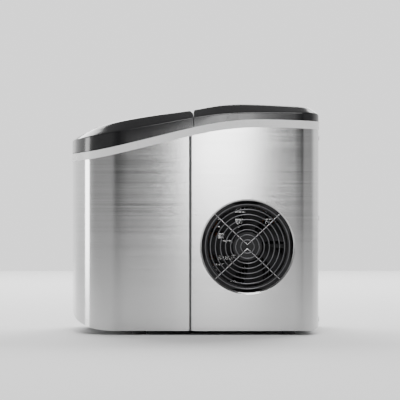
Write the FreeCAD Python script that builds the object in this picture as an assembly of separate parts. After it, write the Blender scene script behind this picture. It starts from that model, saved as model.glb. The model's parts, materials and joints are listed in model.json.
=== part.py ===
import FreeCAD, Part
import math
import os

"""Countertop bullet-ice maker, modelled in millimetres as an assembly of separate pieces.

Frame: +Z up, front faces -Y, width along X, origin at the centre of the footprint on the
surface that it stands on. Every piece is written to parts/NODE.step.
"""

Vec = FreeCAD.Vector
X_AXIS = Vec(1, 0, 0)
Y_AXIS = Vec(0, 1, 0)
Z_AXIS = Vec(0, 0, 1)

# Overall sizes
WIDTH = 242.0
DEPTH = 358.0
HEIGHT = 327.0
FOOT_HEIGHT = 6.0

# Plan outline
FRONT_BOW_RADIUS = 300.0
FRONT_CORNER_RADIUS = 72.0
REAR_CORNER_RADIUS = 28.0

# Outer skins
SKIN = 0.8
TRIM_PROUD = 1.0
TRIM_BAND_HEIGHT = 11.0
TRIM_WALL = 3.0
DECK_DROP = 3.0
DECK_THICKNESS = 2.5
WRAP_SEAM_Y = -5.0
WRAP_SEAM_GAP = 2.4
TOE_LENGTH = 60.0
TOE_RISE = 30.0
HEEL_LENGTH = 14.0
HEEL_RISE = 9.0

# Black top: lid in front of the hinge, fixed housing behind it
TOP_INSET = 0.8
TOP_WALL = 2.6
CHAMFER_RUN = 16.0
TOP_STATIONS = 20
LID_GAP = 0.8
HINGE_Y = -8.0
HINGE_NOSE = 7.4
LID_SEAM = 0.6
HINGE_X = 88.0
HINGE_PIN_RADIUS = 2.0
HINGE_RUNNING_FIT = 0.05
HINGE_ARM_WIDTH = 7.0
HINGE_ARM_RADIUS = 4.0
HINGE_SIDE_CLEARANCE = 1.0
KNUCKLE_WIDTH = 5.0
KNUCKLE_RADIUS = 4.6
WINDOW_HALF_WIDTH = 75.0
WINDOW_FRONT_MARGIN = 40.0
WINDOW_REAR_Y = -24.0
WINDOW_LEDGE = 4.0
WINDOW_RISE = 1.0
WINDOW_THICKNESS = 2.4

# Control panel
PANEL_HALF_WIDTH = 55.0
PANEL_FRONT_Y = 8.0
PANEL_REAR_Y = 50.0
PANEL_CLEARANCE = 0.2
PANEL_FLANGE = 3.0
PANEL_FLANGE_THICKNESS = 1.5
BUTTON_RADIUS = 7.5
BUTTON_CLEARANCE = 0.3
BUTTON_PROUD = 0.9
BUTTON_STEM_RADIUS = 3.0
BUTTON_X = 34.0
BUTTON_Y = 29.0
LENS_RADIUS = 2.0
LENS_COUNT = 5
LENS_PITCH = 9.0
DISPLAY_BOARD_THICKNESS = 1.6
DISPLAY_BOARD_DROP = 14.0

# Base
BASE_HEIGHT = 20.0
BASE_WALL = 2.4
BASE_FLOOR = 3.0
FOOT_RADIUS = 10.3
FOOT_TAPER = 1.0
FOOT_STUD_RADIUS = 3.0
FOOT_STUD_LENGTH = 7.0
FOOT_X = 86.0
FRONT_FOOT_SETBACK = 101.0
REAR_FOOT_SETBACK = 44.0

# Cold side
LINER_INSET = 14.0
LINER_WALL = 2.0
LINER_FLOOR_Z = 40.0
LINER_REAR_Y = -12.0
LINER_FLANGE = 9.0
LINER_FLANGE_THICKNESS = 1.5
FOAM_CLEARANCE = 0.4
BASKET_CLEARANCE = 2.5
BASKET_WALL = 1.8
BASKET_BOTTOM_Z = 92.0
BASKET_HEIGHT = 76.0
BASKET_LIP = 2.0
LEDGE_DEPTH = 8.0
LEDGE_THICKNESS = 3.0
TRAY_AXIS_Y = -52.0
TRAY_AXIS_Z = 252.0
TRAY_RADIUS = 38.0
TRAY_WALL = 2.0
TRAY_HALF_ANGLE = 75.0
TRAY_HALF_LENGTH = 66.0
TRAY_HUB_RADIUS = 6.0
TRAY_STUB_RADIUS = 3.5
TRAY_STUB_LENGTH = 6.0
TRAY_RUNNING_FIT = 0.05
SIDE_CLEARANCE = 1.5
TUBE_RADIUS = 5.0
TUBE_RISE = 16.0
FINGER_RADIUS = 4.5
FINGER_LENGTH = 46.0
FINGER_ROW_OFFSET = 11.0
FINGER_PITCH = 22.0
FRONT_FINGERS = 5
OUTLET_X = 77.0
INLET_X = 93.0
RAMP_HALF_WIDTH = 66.0
RAMP_TOP_Z = 176.0
RAMP_THICKNESS = 2.0
RAMP_FALL = 4.0
SHOVEL_THICKNESS = 3.0
SHOVEL_HEIGHT = 30.0
SHOVEL_CLEARANCE = 0.8
MOTOR_LENGTH = 24.0
MOTOR_HALF_SIZE = 17.0

# Machine room
DIVIDER_THICKNESS = 1.0
DIVIDER_FLANGE = 8.0
VENT_SETBACK = 103.0
VENT_Z = 125.0
VENT_RADIUS = 64.5
VENT_LIP_RADIUS = 3.0
VENT_LIP_DEPTH = 5.0
FAN_SIZE = 120.0
FAN_DEPTH = 38.0
FAN_BORE = 57.5
FAN_TIP_CLEARANCE = 2.0
FAN_HUB_RADIUS = 21.0
FAN_HOLE_PITCH = 105.0
FAN_BLADES = 7
GUARD_WIRE = 0.8
GUARD_RINGS = 8
GUARD_RING_PITCH = 7.2
GUARD_INNER_RING = 9.5
GUARD_LIP_CLEARANCE = 0.6
SHROUD_THICKNESS = 2.0
CONDENSER_DEPTH = 28.0
CONDENSER_TUBES = 5
FIN_THICKNESS = 0.5
FIN_COUNT = 24
COMPRESSOR_RADIUS = 46.0
COMPRESSOR_HEIGHT = 130.0
COMPRESSOR_X = -50.0
COMPRESSOR_SETBACK = 69.0
GROMMET_HEIGHT = 14.0
GROMMET_RADIUS = 8.0
LINE_RADIUS = 3.0
SUCTION_RADIUS = 4.0
CAPILLARY_RADIUS = 1.2
LINE_BEND = 9.0
VALVE_LENGTH = 24.0
DRIER_RADIUS = 9.0
DRIER_LENGTH = 76.0
CORD_BORE_RADIUS = 4.0
CORD_GLAND_RADIUS = 8.0
CORD_X = -80.0
CORD_Z = 42.0
DRAIN_Y_SETBACK = 70.0
DRAIN_RADIUS = 8.0
DRAIN_CAP_RADIUS = 11.0
DRAIN_CAP_DEPTH = 6.0
DRAIN_WALL = 2.5
DRAIN_FIT = 0.05
DRAIN_PLUG_LENGTH = 9.0
SCREW_HEAD_RADIUS = 3.6
SCREW_SHANK_RADIUS = 1.7
SCREW_LENGTH = 6.0

# Side-view curves: share of the depth from the front, drop below the overall height
RIM_CURVE = [(0.0, 80.2), (0.08, 78.2), (0.22, 68.5), (0.39, 53.6), (0.556, 40.1),
             (0.695, 33.8), (0.835, 33.4), (1.0, 35.8)]
SHOULDER_CURVE = [(0.0, 50.5), (0.1, 44.8), (0.24, 36.4), (0.41, 25.4), (0.606, 14.4),
                  (0.754, 12.2), (1.0, 13.4)]
CROWN_CURVE = [(0.0, 50.0), (0.042, 43.7), (0.115, 32.7), (0.215, 23.2), (0.36, 14.4),
               (0.508, 6.9), (0.60, 1.4), (0.71, 0.0), (0.85, 1.8), (1.0, 4.6)]
REAR_CHAMFER_LENGTH = 16.0
REAR_CHAMFER_DROP = 10.5

# Derived places
FRONT_Y = -DEPTH / 2
REAR_Y = DEPTH / 2
HALF_WIDTH = WIDTH / 2
BODY_BOTTOM = FOOT_HEIGHT
BASE_TOP = BODY_BOTTOM + BASE_HEIGHT
WRAP_INNER = TRIM_PROUD + SKIN
LID_REAR_Y = HINGE_Y + HINGE_NOSE
HOUSING_FRONT_Y = LID_REAR_Y + 2 * LID_SEAM
LINER_INNER = LINER_INSET + LINER_WALL
VENT_Y = REAR_Y - VENT_SETBACK
FAR = 1000.0


# ---------------------------------------------------------------- basic solids

def block(x0, x1, y0, y1, z0, z1):
    """Box between two corners."""
    return Part.makeBox(x1 - x0, y1 - y0, z1 - z0, Vec(x0, y0, z0))


def rod(x, y, z, radius, length, axis=Z_AXIS):
    """Cylinder that starts at a point and runs along an axis."""
    return Part.makeCylinder(radius, length, Vec(x, y, z), axis)


def ring(x, y, z, outer, inner, length, axis=Z_AXIS):
    """Tube with a straight bore."""
    return rod(x, y, z, outer, length, axis).cut(rod(x, y, z, inner, length, axis))


def joined(shapes):
    """One solid out of overlapping or touching solids."""
    first = shapes[0]
    return first.fuse(shapes[1:]).removeSplitter()


def tube_along(points, radius, bend):
    """Round bar along straight runs joined by tangent arcs."""
    route = [Vec(*point) for point in points]
    edges = []
    start = route[0]
    for before, corner, after in zip(route, route[1:], route[2:]):
        inward = (corner - before).normalize()
        outward = (after - corner).normalize()
        turn = inward.getAngle(outward)
        setback = bend * math.tan(turn / 2)
        arc_start = corner - inward * setback
        arc_end = corner + outward * setback
        middle_dir = (outward - inward).normalize()
        middle = corner + middle_dir * (bend / math.cos(turn / 2) - bend)
        edges.append(Part.makeLine(start, arc_start))
        edges.append(Part.Arc(arc_start, middle, arc_end).toShape())
        start = arc_end
    edges.append(Part.makeLine(start, route[-1]))
    path = Part.Wire(edges)
    first_dir = (route[1] - route[0]).normalize()
    circle = Part.Wire(Part.makeCircle(radius, route[0], first_dir))
    return path.makePipeShell([circle], True, False)


# ---------------------------------------------------------------- shared outlines

def plan_face(inset):
    """Footprint outline, every arc concentric with the outer one."""
    corner_r = FRONT_CORNER_RADIUS - inset
    bow_r = FRONT_BOW_RADIUS - inset
    rear_r = REAR_CORNER_RADIUS - inset
    side_x = HALF_WIDTH - inset
    rear_y = REAR_Y - inset
    corner_x = HALF_WIDTH - FRONT_CORNER_RADIUS
    bow_y = FRONT_Y + FRONT_BOW_RADIUS
    corner_y = bow_y - math.sqrt((FRONT_BOW_RADIUS - FRONT_CORNER_RADIUS) ** 2 - corner_x ** 2)
    reach = Vec(corner_x, corner_y - bow_y, 0).normalize()
    tangent = Vec(0, bow_y, 0) + reach * bow_r
    half_turn = (math.atan2(reach.y, reach.x)) / 2
    corner_mid = Vec(corner_x + corner_r * math.cos(half_turn), corner_y + corner_r * math.sin(half_turn), 0)
    if rear_r > 0.5:
        rear_in = REAR_CORNER_RADIUS
        diagonal = rear_r * math.sqrt(0.5)
        rear_arc = [Part.Arc(Vec(side_x, REAR_Y - rear_in, 0),
                             Vec(HALF_WIDTH - rear_in + diagonal, REAR_Y - rear_in + diagonal, 0),
                             Vec(HALF_WIDTH - rear_in, rear_y, 0)).toShape()]
        side_end = Vec(side_x, REAR_Y - rear_in, 0)
        rear_end = Vec(HALF_WIDTH - rear_in, rear_y, 0)
    else:
        rear_arc = []
        side_end = Vec(side_x, rear_y, 0)
        rear_end = side_end
    right = [Part.Arc(tangent, corner_mid, Vec(side_x, corner_y, 0)).toShape(),
             Part.makeLine(Vec(side_x, corner_y, 0), side_end)] + rear_arc
    left = [edge.mirror(Vec(0, 0, 0), X_AXIS) for edge in right]
    bow = Part.Arc(Vec(-tangent.x, tangent.y, 0), Vec(0, FRONT_Y + inset, 0), tangent).toShape()
    back = Part.makeLine(rear_end, Vec(-rear_end.x, rear_end.y, 0))
    wire = Part.Wire(Part.__sortEdges__([bow, back] + right + left))
    return Part.Face(wire)


def plan_prism(inset, z0, z1):
    """Footprint outline raised between two heights."""
    face = plan_face(inset)
    face.translate(Vec(0, 0, z0))
    return face.extrude(Vec(0, 0, z1 - z0))


def curve_points(shares, shift):
    """Side-view points of a curve, moved up by shift."""
    return [Vec(0, FRONT_Y + share * DEPTH, HEIGHT - drop + shift) for share, drop in shares]


def side_curve(shares, shift=0.0):
    """Smooth side-view curve."""
    curve = Part.BSplineCurve()
    curve.interpolate(curve_points(shares, shift))
    return curve


def height_at(shares, y, shift=0.0):
    """Height of a side-view curve at a place along the depth."""
    curve = side_curve(shares, shift)
    plane = Part.Plane(Vec(0, min(max(y, FRONT_Y + 0.01), REAR_Y - 0.01), 0), Y_AXIS)
    return curve.intersect(plane)[0][0].Z


def below_curve(shares, shift=0.0):
    """Everything under a side-view curve, across the whole width."""
    points = curve_points(shares, shift)
    first, last = points[0], points[-1]
    margin = 20.0
    curve = side_curve(shares, shift).toShape()
    outline = [Part.makeLine(Vec(0, first.y - margin, first.z), first),
               curve,
               Part.makeLine(last, Vec(0, last.y + margin, last.z)),
               Part.makeLine(Vec(0, last.y + margin, last.z), Vec(0, last.y + margin, -margin)),
               Part.makeLine(Vec(0, last.y + margin, -margin), Vec(0, first.y - margin, -margin)),
               Part.makeLine(Vec(0, first.y - margin, -margin), Vec(0, first.y - margin, first.z))]
    face = Part.Face(Part.Wire(outline))
    face.translate(Vec(-WIDTH, 0, 0))
    return face.extrude(Vec(2 * WIDTH, 0, 0))


def rim_layer(inset, low, high):
    """Slab that follows the rim curve, within the footprint."""
    return plan_prism(inset, 0, HEIGHT + 50).common(
        below_curve(RIM_CURVE, high)).cut(below_curve(RIM_CURVE, low))


def rim_z(y):
    """Height of the rim, the lower edge of the trim band."""
    return height_at(RIM_CURVE, y)


def crown_z(y):
    """Height of the black top's middle."""
    return height_at(CROWN_CURVE, y)


def underside(inset):
    """Everything above the swept-up toe and heel, moved inwards by inset."""
    low = BODY_BOTTOM + inset
    front = FRONT_Y + TRIM_PROUD + inset
    rear = REAR_Y - TRIM_PROUD - inset
    toe = quarter_ellipse(front, low, TOE_LENGTH, TOE_RISE)
    heel = quarter_ellipse(rear, low, -HEEL_LENGTH, HEEL_RISE)
    room = block(-WIDTH, WIDTH, front - 20, rear + 20, low, HEIGHT + 50)
    return room.cut(toe).cut(heel)


def quarter_ellipse(edge_y, low, run, rise):
    """The corner that is missing under a swept-up edge."""
    arc = Part.Ellipse(Vec(0, edge_y + run, low + rise), abs(run), rise)
    arc.Axis = X_AXIS
    arc.XAxis = Y_AXIS
    start = Vec(0, edge_y, low + rise)
    end = Vec(0, edge_y + run, low)
    angle = math.radians(225 if run > 0 else 315)
    middle = Vec(0, edge_y + run + abs(run) * math.cos(angle), low + rise + rise * math.sin(angle))
    first = arc.parameter(start)
    last = arc.parameter(end)
    low_end, high_end = sorted((first, last))
    if abs(arc.value((low_end + high_end) / 2).sub(middle).Length) > rise:
        low_end, high_end = high_end, low_end + 2 * math.pi
    out = -20 if run > 0 else 20
    curve = arc.toShape(low_end, high_end)
    outline = [curve,
               Part.makeLine(start, start + Vec(0, out, 0)),
               Part.makeLine(start + Vec(0, out, 0), Vec(0, edge_y + out, low - 20)),
               Part.makeLine(Vec(0, edge_y + out, low - 20), end + Vec(0, 0, -20)),
               Part.makeLine(end + Vec(0, 0, -20), end)]
    face = Part.Face(Part.Wire(Part.__sortEdges__(outline)))
    face.translate(Vec(-WIDTH, 0, 0))
    return face.extrude(Vec(2 * WIDTH, 0, 0))


def top_section(y, inset):
    """Cross-section of the black top at one place along the depth."""
    shoulder = height_at(SHOULDER_CURVE, y) - inset
    crown = height_at(CROWN_CURVE, y) - inset
    side = HALF_WIDTH - TOP_INSET - inset
    shelf = side - CHAMFER_RUN
    low = height_at(RIM_CURVE, y) - 20
    corners = [Vec(-side, y, low), Vec(side, y, low), Vec(side, y, shoulder), Vec(shelf, y, crown),
               Vec(-shelf, y, crown), Vec(-side, y, shoulder)]
    return Part.makePolygon(corners + corners[:1])


def top_mass(inset):
    """The black top as a full solid, moved inwards by inset."""
    wires = [top_section(FRONT_Y + index * DEPTH / TOP_STATIONS, inset) for index in range(TOP_STATIONS + 1)]
    loft = Part.makeLoft(wires, True, False)
    mass = loft.common(plan_prism(TOP_INSET + inset, 0, HEIGHT + 50))
    rear = REAR_Y - TOP_INSET - inset
    corner = height_at(CROWN_CURVE, REAR_Y) - inset
    wedge = Part.Face(Part.makePolygon([
        Vec(-WIDTH, rear + 20, corner - REAR_CHAMFER_DROP * (1 + 20 / REAR_CHAMFER_LENGTH)),
        Vec(-WIDTH, rear - REAR_CHAMFER_LENGTH * 2, corner + REAR_CHAMFER_DROP),
        Vec(-WIDTH, rear + 20, corner + 40),
        Vec(-WIDTH, rear + 20, corner - REAR_CHAMFER_DROP * (1 + 20 / REAR_CHAMFER_LENGTH))]))
    return mass.cut(wedge.extrude(Vec(2 * WIDTH, 0, 0)))


# ---------------------------------------------------------------- outer skins

def wrap_shell():
    """Steel skin of the whole body before it is split at the seam."""
    shell = plan_prism(TRIM_PROUD, 0, HEIGHT).cut(plan_prism(WRAP_INNER, 0, HEIGHT))
    return shell.common(below_curve(RIM_CURVE)).common(underside(0.0))


def front_wrap():
    """Steel skin in front of the seam."""
    edge = WRAP_SEAM_Y - WRAP_SEAM_GAP / 2
    return wrap_shell().common(block(-WIDTH, WIDTH, -FAR, edge, 0, FAR))


def vent_lip():
    """Rolled edge that turns inwards round the fan opening."""
    outer = VENT_RADIUS + VENT_LIP_RADIUS
    skin_x = HALF_WIDTH - TRIM_PROUD
    profile = [Vec(skin_x, VENT_Y, VENT_Z + outer),
               Vec(skin_x - VENT_LIP_RADIUS, VENT_Y, VENT_Z + VENT_RADIUS)]
    bend = VENT_LIP_RADIUS
    middle = Vec(skin_x - bend * (1 - math.sqrt(0.5)), VENT_Y, VENT_Z + outer - bend * math.sqrt(0.5))
    end = Vec(skin_x - VENT_LIP_DEPTH, VENT_Y, VENT_Z + VENT_RADIUS)
    inner_middle = Vec(skin_x - bend + (bend - SKIN) * math.sqrt(0.5), VENT_Y,
                       VENT_Z + outer - (bend - SKIN) * math.sqrt(0.5))
    outline = [Part.Arc(profile[0], middle, profile[1]).toShape(),
               Part.makeLine(profile[1], end),
               Part.makeLine(end, end + Vec(0, 0, SKIN)),
               Part.makeLine(end + Vec(0, 0, SKIN), profile[1] + Vec(0, 0, SKIN)),
               Part.Arc(profile[1] + Vec(0, 0, SKIN), inner_middle, profile[0] - Vec(SKIN, 0, 0)).toShape(),
               Part.makeLine(profile[0] - Vec(SKIN, 0, 0), profile[0])]
    face = Part.Face(Part.Wire(outline))
    return face.revolve(Vec(0, VENT_Y, VENT_Z), X_AXIS, 360)


def louvre_cuts():
    """Air slots in the back and in the side away from the fan."""
    cuts = []
    slot_pitch = 11.0
    slot_height = 4.0
    for row in range(10):
        z = VENT_Z - 4.5 * slot_pitch + row * slot_pitch
        cuts.append(block(-HALF_WIDTH - 5, -HALF_WIDTH + 20, VENT_Y - 45, VENT_Y + 45,
                          z - slot_height / 2, z + slot_height / 2))
        cuts.append(block(-60, 60, REAR_Y - 15, REAR_Y + 5, z - slot_height / 2, z + slot_height / 2))
    return cuts


def rear_wrap():
    """Steel skin behind the seam, with the fan opening and the air slots."""
    edge = WRAP_SEAM_Y + WRAP_SEAM_GAP / 2
    skin = wrap_shell().common(block(-WIDTH, WIDTH, edge, FAR, 0, FAR))
    hole = rod(HALF_WIDTH - 20, VENT_Y, VENT_Z, VENT_RADIUS + VENT_LIP_RADIUS, 40, X_AXIS)
    gland = rod(CORD_X, REAR_Y - 10, CORD_Z, CORD_GLAND_RADIUS - 2, 20, Y_AXIS)
    holes = [rod(x, REAR_Y - 10, z, SCREW_SHANK_RADIUS, 20, Y_AXIS) for x, z in rear_screw_places()]
    skin = skin.cut([hole, gland] + louvre_cuts() + holes)
    return skin.fuse(vent_lip())


def rear_screw_places():
    """Where the back is screwed on, as X and Z."""
    side = HALF_WIDTH - REAR_CORNER_RADIUS - 6
    top = rim_z(REAR_Y) - 12
    return [(x, z) for x in (-side, side) for z in (BASE_TOP - 5, VENT_Z + 40, top)]


def trim_frame():
    """White band under the black top, with the deck that carries the liner and the lid."""
    band = rim_layer(0.0, 0.0, TRIM_BAND_HEIGHT).cut(plan_prism(TRIM_WALL, 0, FAR))
    deck = rim_layer(TRIM_WALL - 0.5, TRIM_BAND_HEIGHT - DECK_DROP - DECK_THICKNESS,
                     TRIM_BAND_HEIGHT - DECK_DROP)
    front_hole = plan_prism(LINER_INSET - FOAM_CLEARANCE, 0, FAR).common(
        block(-WIDTH, WIDTH, -FAR, LINER_REAR_Y + FOAM_CLEARANCE, 0, FAR))
    rear_hole = plan_prism(LINER_INSET, 0, FAR).common(
        block(-WIDTH, WIDTH, HOUSING_FRONT_Y + 6, FAR, 0, FAR))
    return band.fuse(deck.cut(front_hole).cut(rear_hole))


# ---------------------------------------------------------------- black top

def hinge_z():
    """Height of the lid's hinge axis."""
    return crown_z(HINGE_Y) - HINGE_NOSE


def lid_limit():
    """Space that the lid may fill: ahead of the seam, with a rounded rear nose."""
    z = hinge_z()
    ahead = block(-WIDTH, WIDTH, -FAR, HINGE_Y, 0, FAR)
    under = block(-WIDTH, WIDTH, HINGE_Y, LID_REAR_Y, 0, z)
    nose = rod(-WIDTH, HINGE_Y, z, HINGE_NOSE, 2 * WIDTH, X_AXIS)
    return joined([ahead, under, nose])


def window_space(margin, low, high):
    """Slab of the lid's window opening, grown by a margin."""
    front = FRONT_Y + WINDOW_FRONT_MARGIN - margin
    half = WINDOW_HALF_WIDTH + margin
    column = block(-half, half, front, WINDOW_REAR_Y + margin, 0, FAR)
    return column.common(below_curve(CROWN_CURVE, high)).cut(below_curve(CROWN_CURVE, low))


def hinge_space(side):
    """Notch that lets the lid swing past a hinge bracket."""
    half = HINGE_ARM_WIDTH / 2 + HINGE_SIDE_CLEARANCE
    z = hinge_z()
    return block(side * HINGE_X - half, side * HINGE_X + half, HINGE_Y - 11, LID_REAR_Y + 1,
                 0, z + HINGE_NOSE * math.sin(math.radians(42)))


def knuckles(side):
    """Two ears under the lid, either side of a hinge bracket."""
    z = hinge_z()
    inner = HINGE_ARM_WIDTH / 2 + HINGE_SIDE_CLEARANCE
    ears = []
    for direction in (-1, 1):
        start = side * HINGE_X + direction * inner
        low_x = min(start, start + direction * KNUCKLE_WIDTH)
        eye = rod(low_x, HINGE_Y, z, KNUCKLE_RADIUS, KNUCKLE_WIDTH, X_AXIS)
        web = block(low_x, low_x + KNUCKLE_WIDTH, HINGE_Y - KNUCKLE_RADIUS, HINGE_Y + KNUCKLE_RADIUS, z, z + 6)
        ears.append(eye.fuse(web))
    return ears


def lid_frame():
    """Hinged black lid, with the opening for its window."""
    body = top_mass(0.0).common(lid_limit())
    cavity = top_mass(TOP_WALL).common(block(-WIDTH, WIDTH, -FAR, LID_REAR_Y - TOP_WALL, 0, FAR))
    lid = body.cut(cavity).cut(below_curve(RIM_CURVE, TRIM_BAND_HEIGHT + LID_GAP))
    lid = lid.cut(window_space(0.0, -30.0, 30.0))
    seat = window_space(WINDOW_LEDGE, WINDOW_RISE - WINDOW_THICKNESS, 30.0)
    lid = lid.cut(seat)
    lid = lid.fuse(knuckles(-1) + knuckles(1))
    pin = rod(-WIDTH, HINGE_Y, hinge_z(), HINGE_PIN_RADIUS + HINGE_RUNNING_FIT, 2 * WIDTH, X_AXIS)
    half = HINGE_ARM_WIDTH / 2 + HINGE_SIDE_CLEARANCE + KNUCKLE_WIDTH
    bores = [pin.common(block(side * HINGE_X - half, side * HINGE_X + half, -FAR, FAR, 0, FAR))
             for side in (-1, 1)]
    return lid.cut([hinge_space(-1), hinge_space(1)] + bores)


def lid_window():
    """Clear smoked window, seated in the lid."""
    return window_space(WINDOW_LEDGE, WINDOW_RISE - WINDOW_THICKNESS, WINDOW_RISE)


def hinge_bracket(side):
    """Arm that rises from the deck and holds the hinge pin."""
    z = hinge_z()
    half = HINGE_ARM_WIDTH / 2
    x0 = side * HINGE_X - half
    eye = rod(x0, HINGE_Y, z, HINGE_ARM_RADIUS, HINGE_ARM_WIDTH, X_AXIS)
    arm = block(x0, x0 + HINGE_ARM_WIDTH, HINGE_Y - HINGE_ARM_RADIUS, HINGE_Y + HINGE_ARM_RADIUS, 0, z)
    base = block(x0 - 4, x0 + HINGE_ARM_WIDTH + 4, HINGE_Y - HINGE_ARM_RADIUS,
                 HINGE_Y + HINGE_ARM_RADIUS + 3, 0, FAR)
    deck_top = TRIM_BAND_HEIGHT - DECK_DROP
    base = base.common(below_curve(RIM_CURVE, deck_top + 2.0))
    foot = arm.fuse(base).cut(below_curve(RIM_CURVE, deck_top))
    bore = rod(x0 - 5, HINGE_Y, z, HINGE_PIN_RADIUS, HINGE_ARM_WIDTH + 10, X_AXIS)
    return foot.fuse(eye).cut(bore)


def hinge_pin(side):
    """Steel pin through the bracket and both lid ears."""
    half = HINGE_ARM_WIDTH / 2 + HINGE_SIDE_CLEARANCE + KNUCKLE_WIDTH
    return rod(side * HINGE_X - half, HINGE_Y, hinge_z(), HINGE_PIN_RADIUS, 2 * half, X_AXIS)


def panel_space(margin, low, high):
    """Slab of the control panel opening, grown by a margin."""
    half = PANEL_HALF_WIDTH + margin
    column = block(-half, half, PANEL_FRONT_Y - margin, PANEL_REAR_Y + margin, 0, FAR)
    return column.common(below_curve(CROWN_CURVE, high)).cut(below_curve(CROWN_CURVE, low))


def rear_housing():
    """Fixed black cover behind the lid, with the control panel opening."""
    behind = block(-WIDTH, WIDTH, HOUSING_FRONT_Y, FAR, 0, FAR)
    inner = block(-WIDTH, WIDTH, HOUSING_FRONT_Y + TOP_WALL, FAR, 0, FAR)
    shell = top_mass(0.0).common(behind).cut(top_mass(TOP_WALL).common(inner))
    shell = shell.cut(below_curve(RIM_CURVE, TRIM_BAND_HEIGHT))
    return shell.cut(panel_space(PANEL_CLEARANCE, -20.0, 20.0))


def panel_frame():
    """Direction square to the control panel."""
    slope = (crown_z(PANEL_REAR_Y) - crown_z(PANEL_FRONT_Y)) / (PANEL_REAR_Y - PANEL_FRONT_Y)
    angle = math.atan(slope)
    return Vec(0, -math.sin(angle), math.cos(angle))


def button_places():
    """Each button's node name and centre on the panel's surface."""
    z = crown_z(BUTTON_Y)
    return [("button_select", Vec(-BUTTON_X, BUTTON_Y, z)), ("button_power", Vec(BUTTON_X, BUTTON_Y, z))]


def lens_places():
    """Centres of the indicator lenses on the panel's surface."""
    first = -LENS_PITCH * (LENS_COUNT - 1) / 2
    return [Vec(first + LENS_PITCH * index, BUTTON_Y, crown_z(BUTTON_Y)) for index in range(LENS_COUNT)]


def control_panel():
    """Insert with button and indicator holes, held by a flange under the housing."""
    plate = panel_space(0.0, -TOP_WALL - PANEL_FLANGE_THICKNESS, 0.0)
    flange = panel_space(PANEL_FLANGE, -TOP_WALL - PANEL_FLANGE_THICKNESS, -TOP_WALL - PANEL_CLEARANCE)
    normal = panel_frame()
    panel = plate.fuse(flange)
    for name, centre in button_places():
        panel = panel.cut(Part.makeCylinder(BUTTON_RADIUS + BUTTON_CLEARANCE, 40, centre - normal * 20, normal))
    for centre in lens_places():
        panel = panel.cut(Part.makeCylinder(LENS_RADIUS, 40, centre - normal * 20, normal))
    return panel


def button(centre):
    """Push button with its stem."""
    normal = panel_frame()
    depth = TOP_WALL + PANEL_FLANGE_THICKNESS
    cap = Part.makeCylinder(BUTTON_RADIUS, depth + BUTTON_PROUD, centre - normal * depth, normal)
    stem_length = DISPLAY_BOARD_DROP - DISPLAY_BOARD_THICKNESS - depth - 3.0
    stem = Part.makeCylinder(BUTTON_STEM_RADIUS, stem_length + 0.5, centre - normal * (depth + stem_length), normal)
    return cap.fuse(stem)


def indicator_lenses():
    """Row of light pipes in the panel."""
    normal = panel_frame()
    depth = TOP_WALL + PANEL_FLANGE_THICKNESS
    return Part.makeCompound([Part.makeCylinder(LENS_RADIUS, depth + 0.2, centre - normal * depth, normal)
                              for centre in lens_places()])


def display_board():
    """Small circuit board under the control panel, on four posts."""
    board = panel_space(PANEL_FLANGE, -DISPLAY_BOARD_DROP, -DISPLAY_BOARD_DROP + DISPLAY_BOARD_THICKNESS)
    posts = []
    for x in (-PANEL_HALF_WIDTH, PANEL_HALF_WIDTH):
        for y in (PANEL_FRONT_Y + 2, PANEL_REAR_Y - 2):
            post = rod(x, y, 0, 2.0, FAR).common(below_curve(CROWN_CURVE, -TOP_WALL - PANEL_FLANGE_THICKNESS))
            posts.append(post.cut(below_curve(CROWN_CURVE, -DISPLAY_BOARD_DROP)))
    return board.fuse(posts)


# ---------------------------------------------------------------- base

def foot_places():
    """Node name and centre of each foot."""
    rows = (("front", FRONT_Y + FRONT_FOOT_SETBACK), ("rear", REAR_Y - REAR_FOOT_SETBACK))
    sides = (("left", -FOOT_X), ("right", FOOT_X))
    return [("foot_" + row + "_" + side, x, y) for row, y in rows for side, x in sides]


def base_tray():
    """Plastic tray that closes the bottom and carries the machine."""
    outside = plan_prism(WRAP_INNER, BODY_BOTTOM, BASE_TOP).common(underside(WRAP_INNER - TRIM_PROUD))
    inside = plan_prism(WRAP_INNER + BASE_WALL, BODY_BOTTOM, FAR).common(
        underside(WRAP_INNER - TRIM_PROUD + BASE_FLOOR))
    tray = outside.cut(inside)
    for name, x, y in foot_places():
        tray = tray.cut(rod(x, y, 0, FOOT_STUD_RADIUS, BASE_TOP))
    drain = rod(0, FRONT_Y + DRAIN_Y_SETBACK, 0, DRAIN_CAP_RADIUS + 1.0, BASE_TOP)
    holes = [rod(x, REAR_Y - 10, z, SCREW_SHANK_RADIUS, 20, Y_AXIS) for x, z in rear_screw_places()]
    return tray.cut([drain] + holes)


def foot(x, y):
    """Rubber foot with the stud that holds it in the tray."""
    pad = Part.makeCone(FOOT_RADIUS - FOOT_TAPER, FOOT_RADIUS, base_floor_z(), Vec(x, y, 0), Z_AXIS)
    stud = rod(x, y, base_floor_z() - 0.5, FOOT_STUD_RADIUS, FOOT_STUD_LENGTH)
    return pad.fuse(stud)


def base_floor_z():
    """Lower face of the base tray."""
    return BODY_BOTTOM + SKIN


# ---------------------------------------------------------------- cold side

def front_of(y, z0=0.0, z1=FAR):
    """Space in front of a plane across the machine."""
    return block(-WIDTH, WIDTH, -FAR, y, z0, z1)


def liner_tube_holes():
    """Holes for the two evaporator tubes in the walls behind the compartment."""
    z = TRAY_AXIS_Z + TUBE_RISE
    return [rod(x, LINER_REAR_Y - 10, z, TUBE_RADIUS + 0.5, 40, Y_AXIS) for x in (OUTLET_X, INLET_X)]


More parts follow.
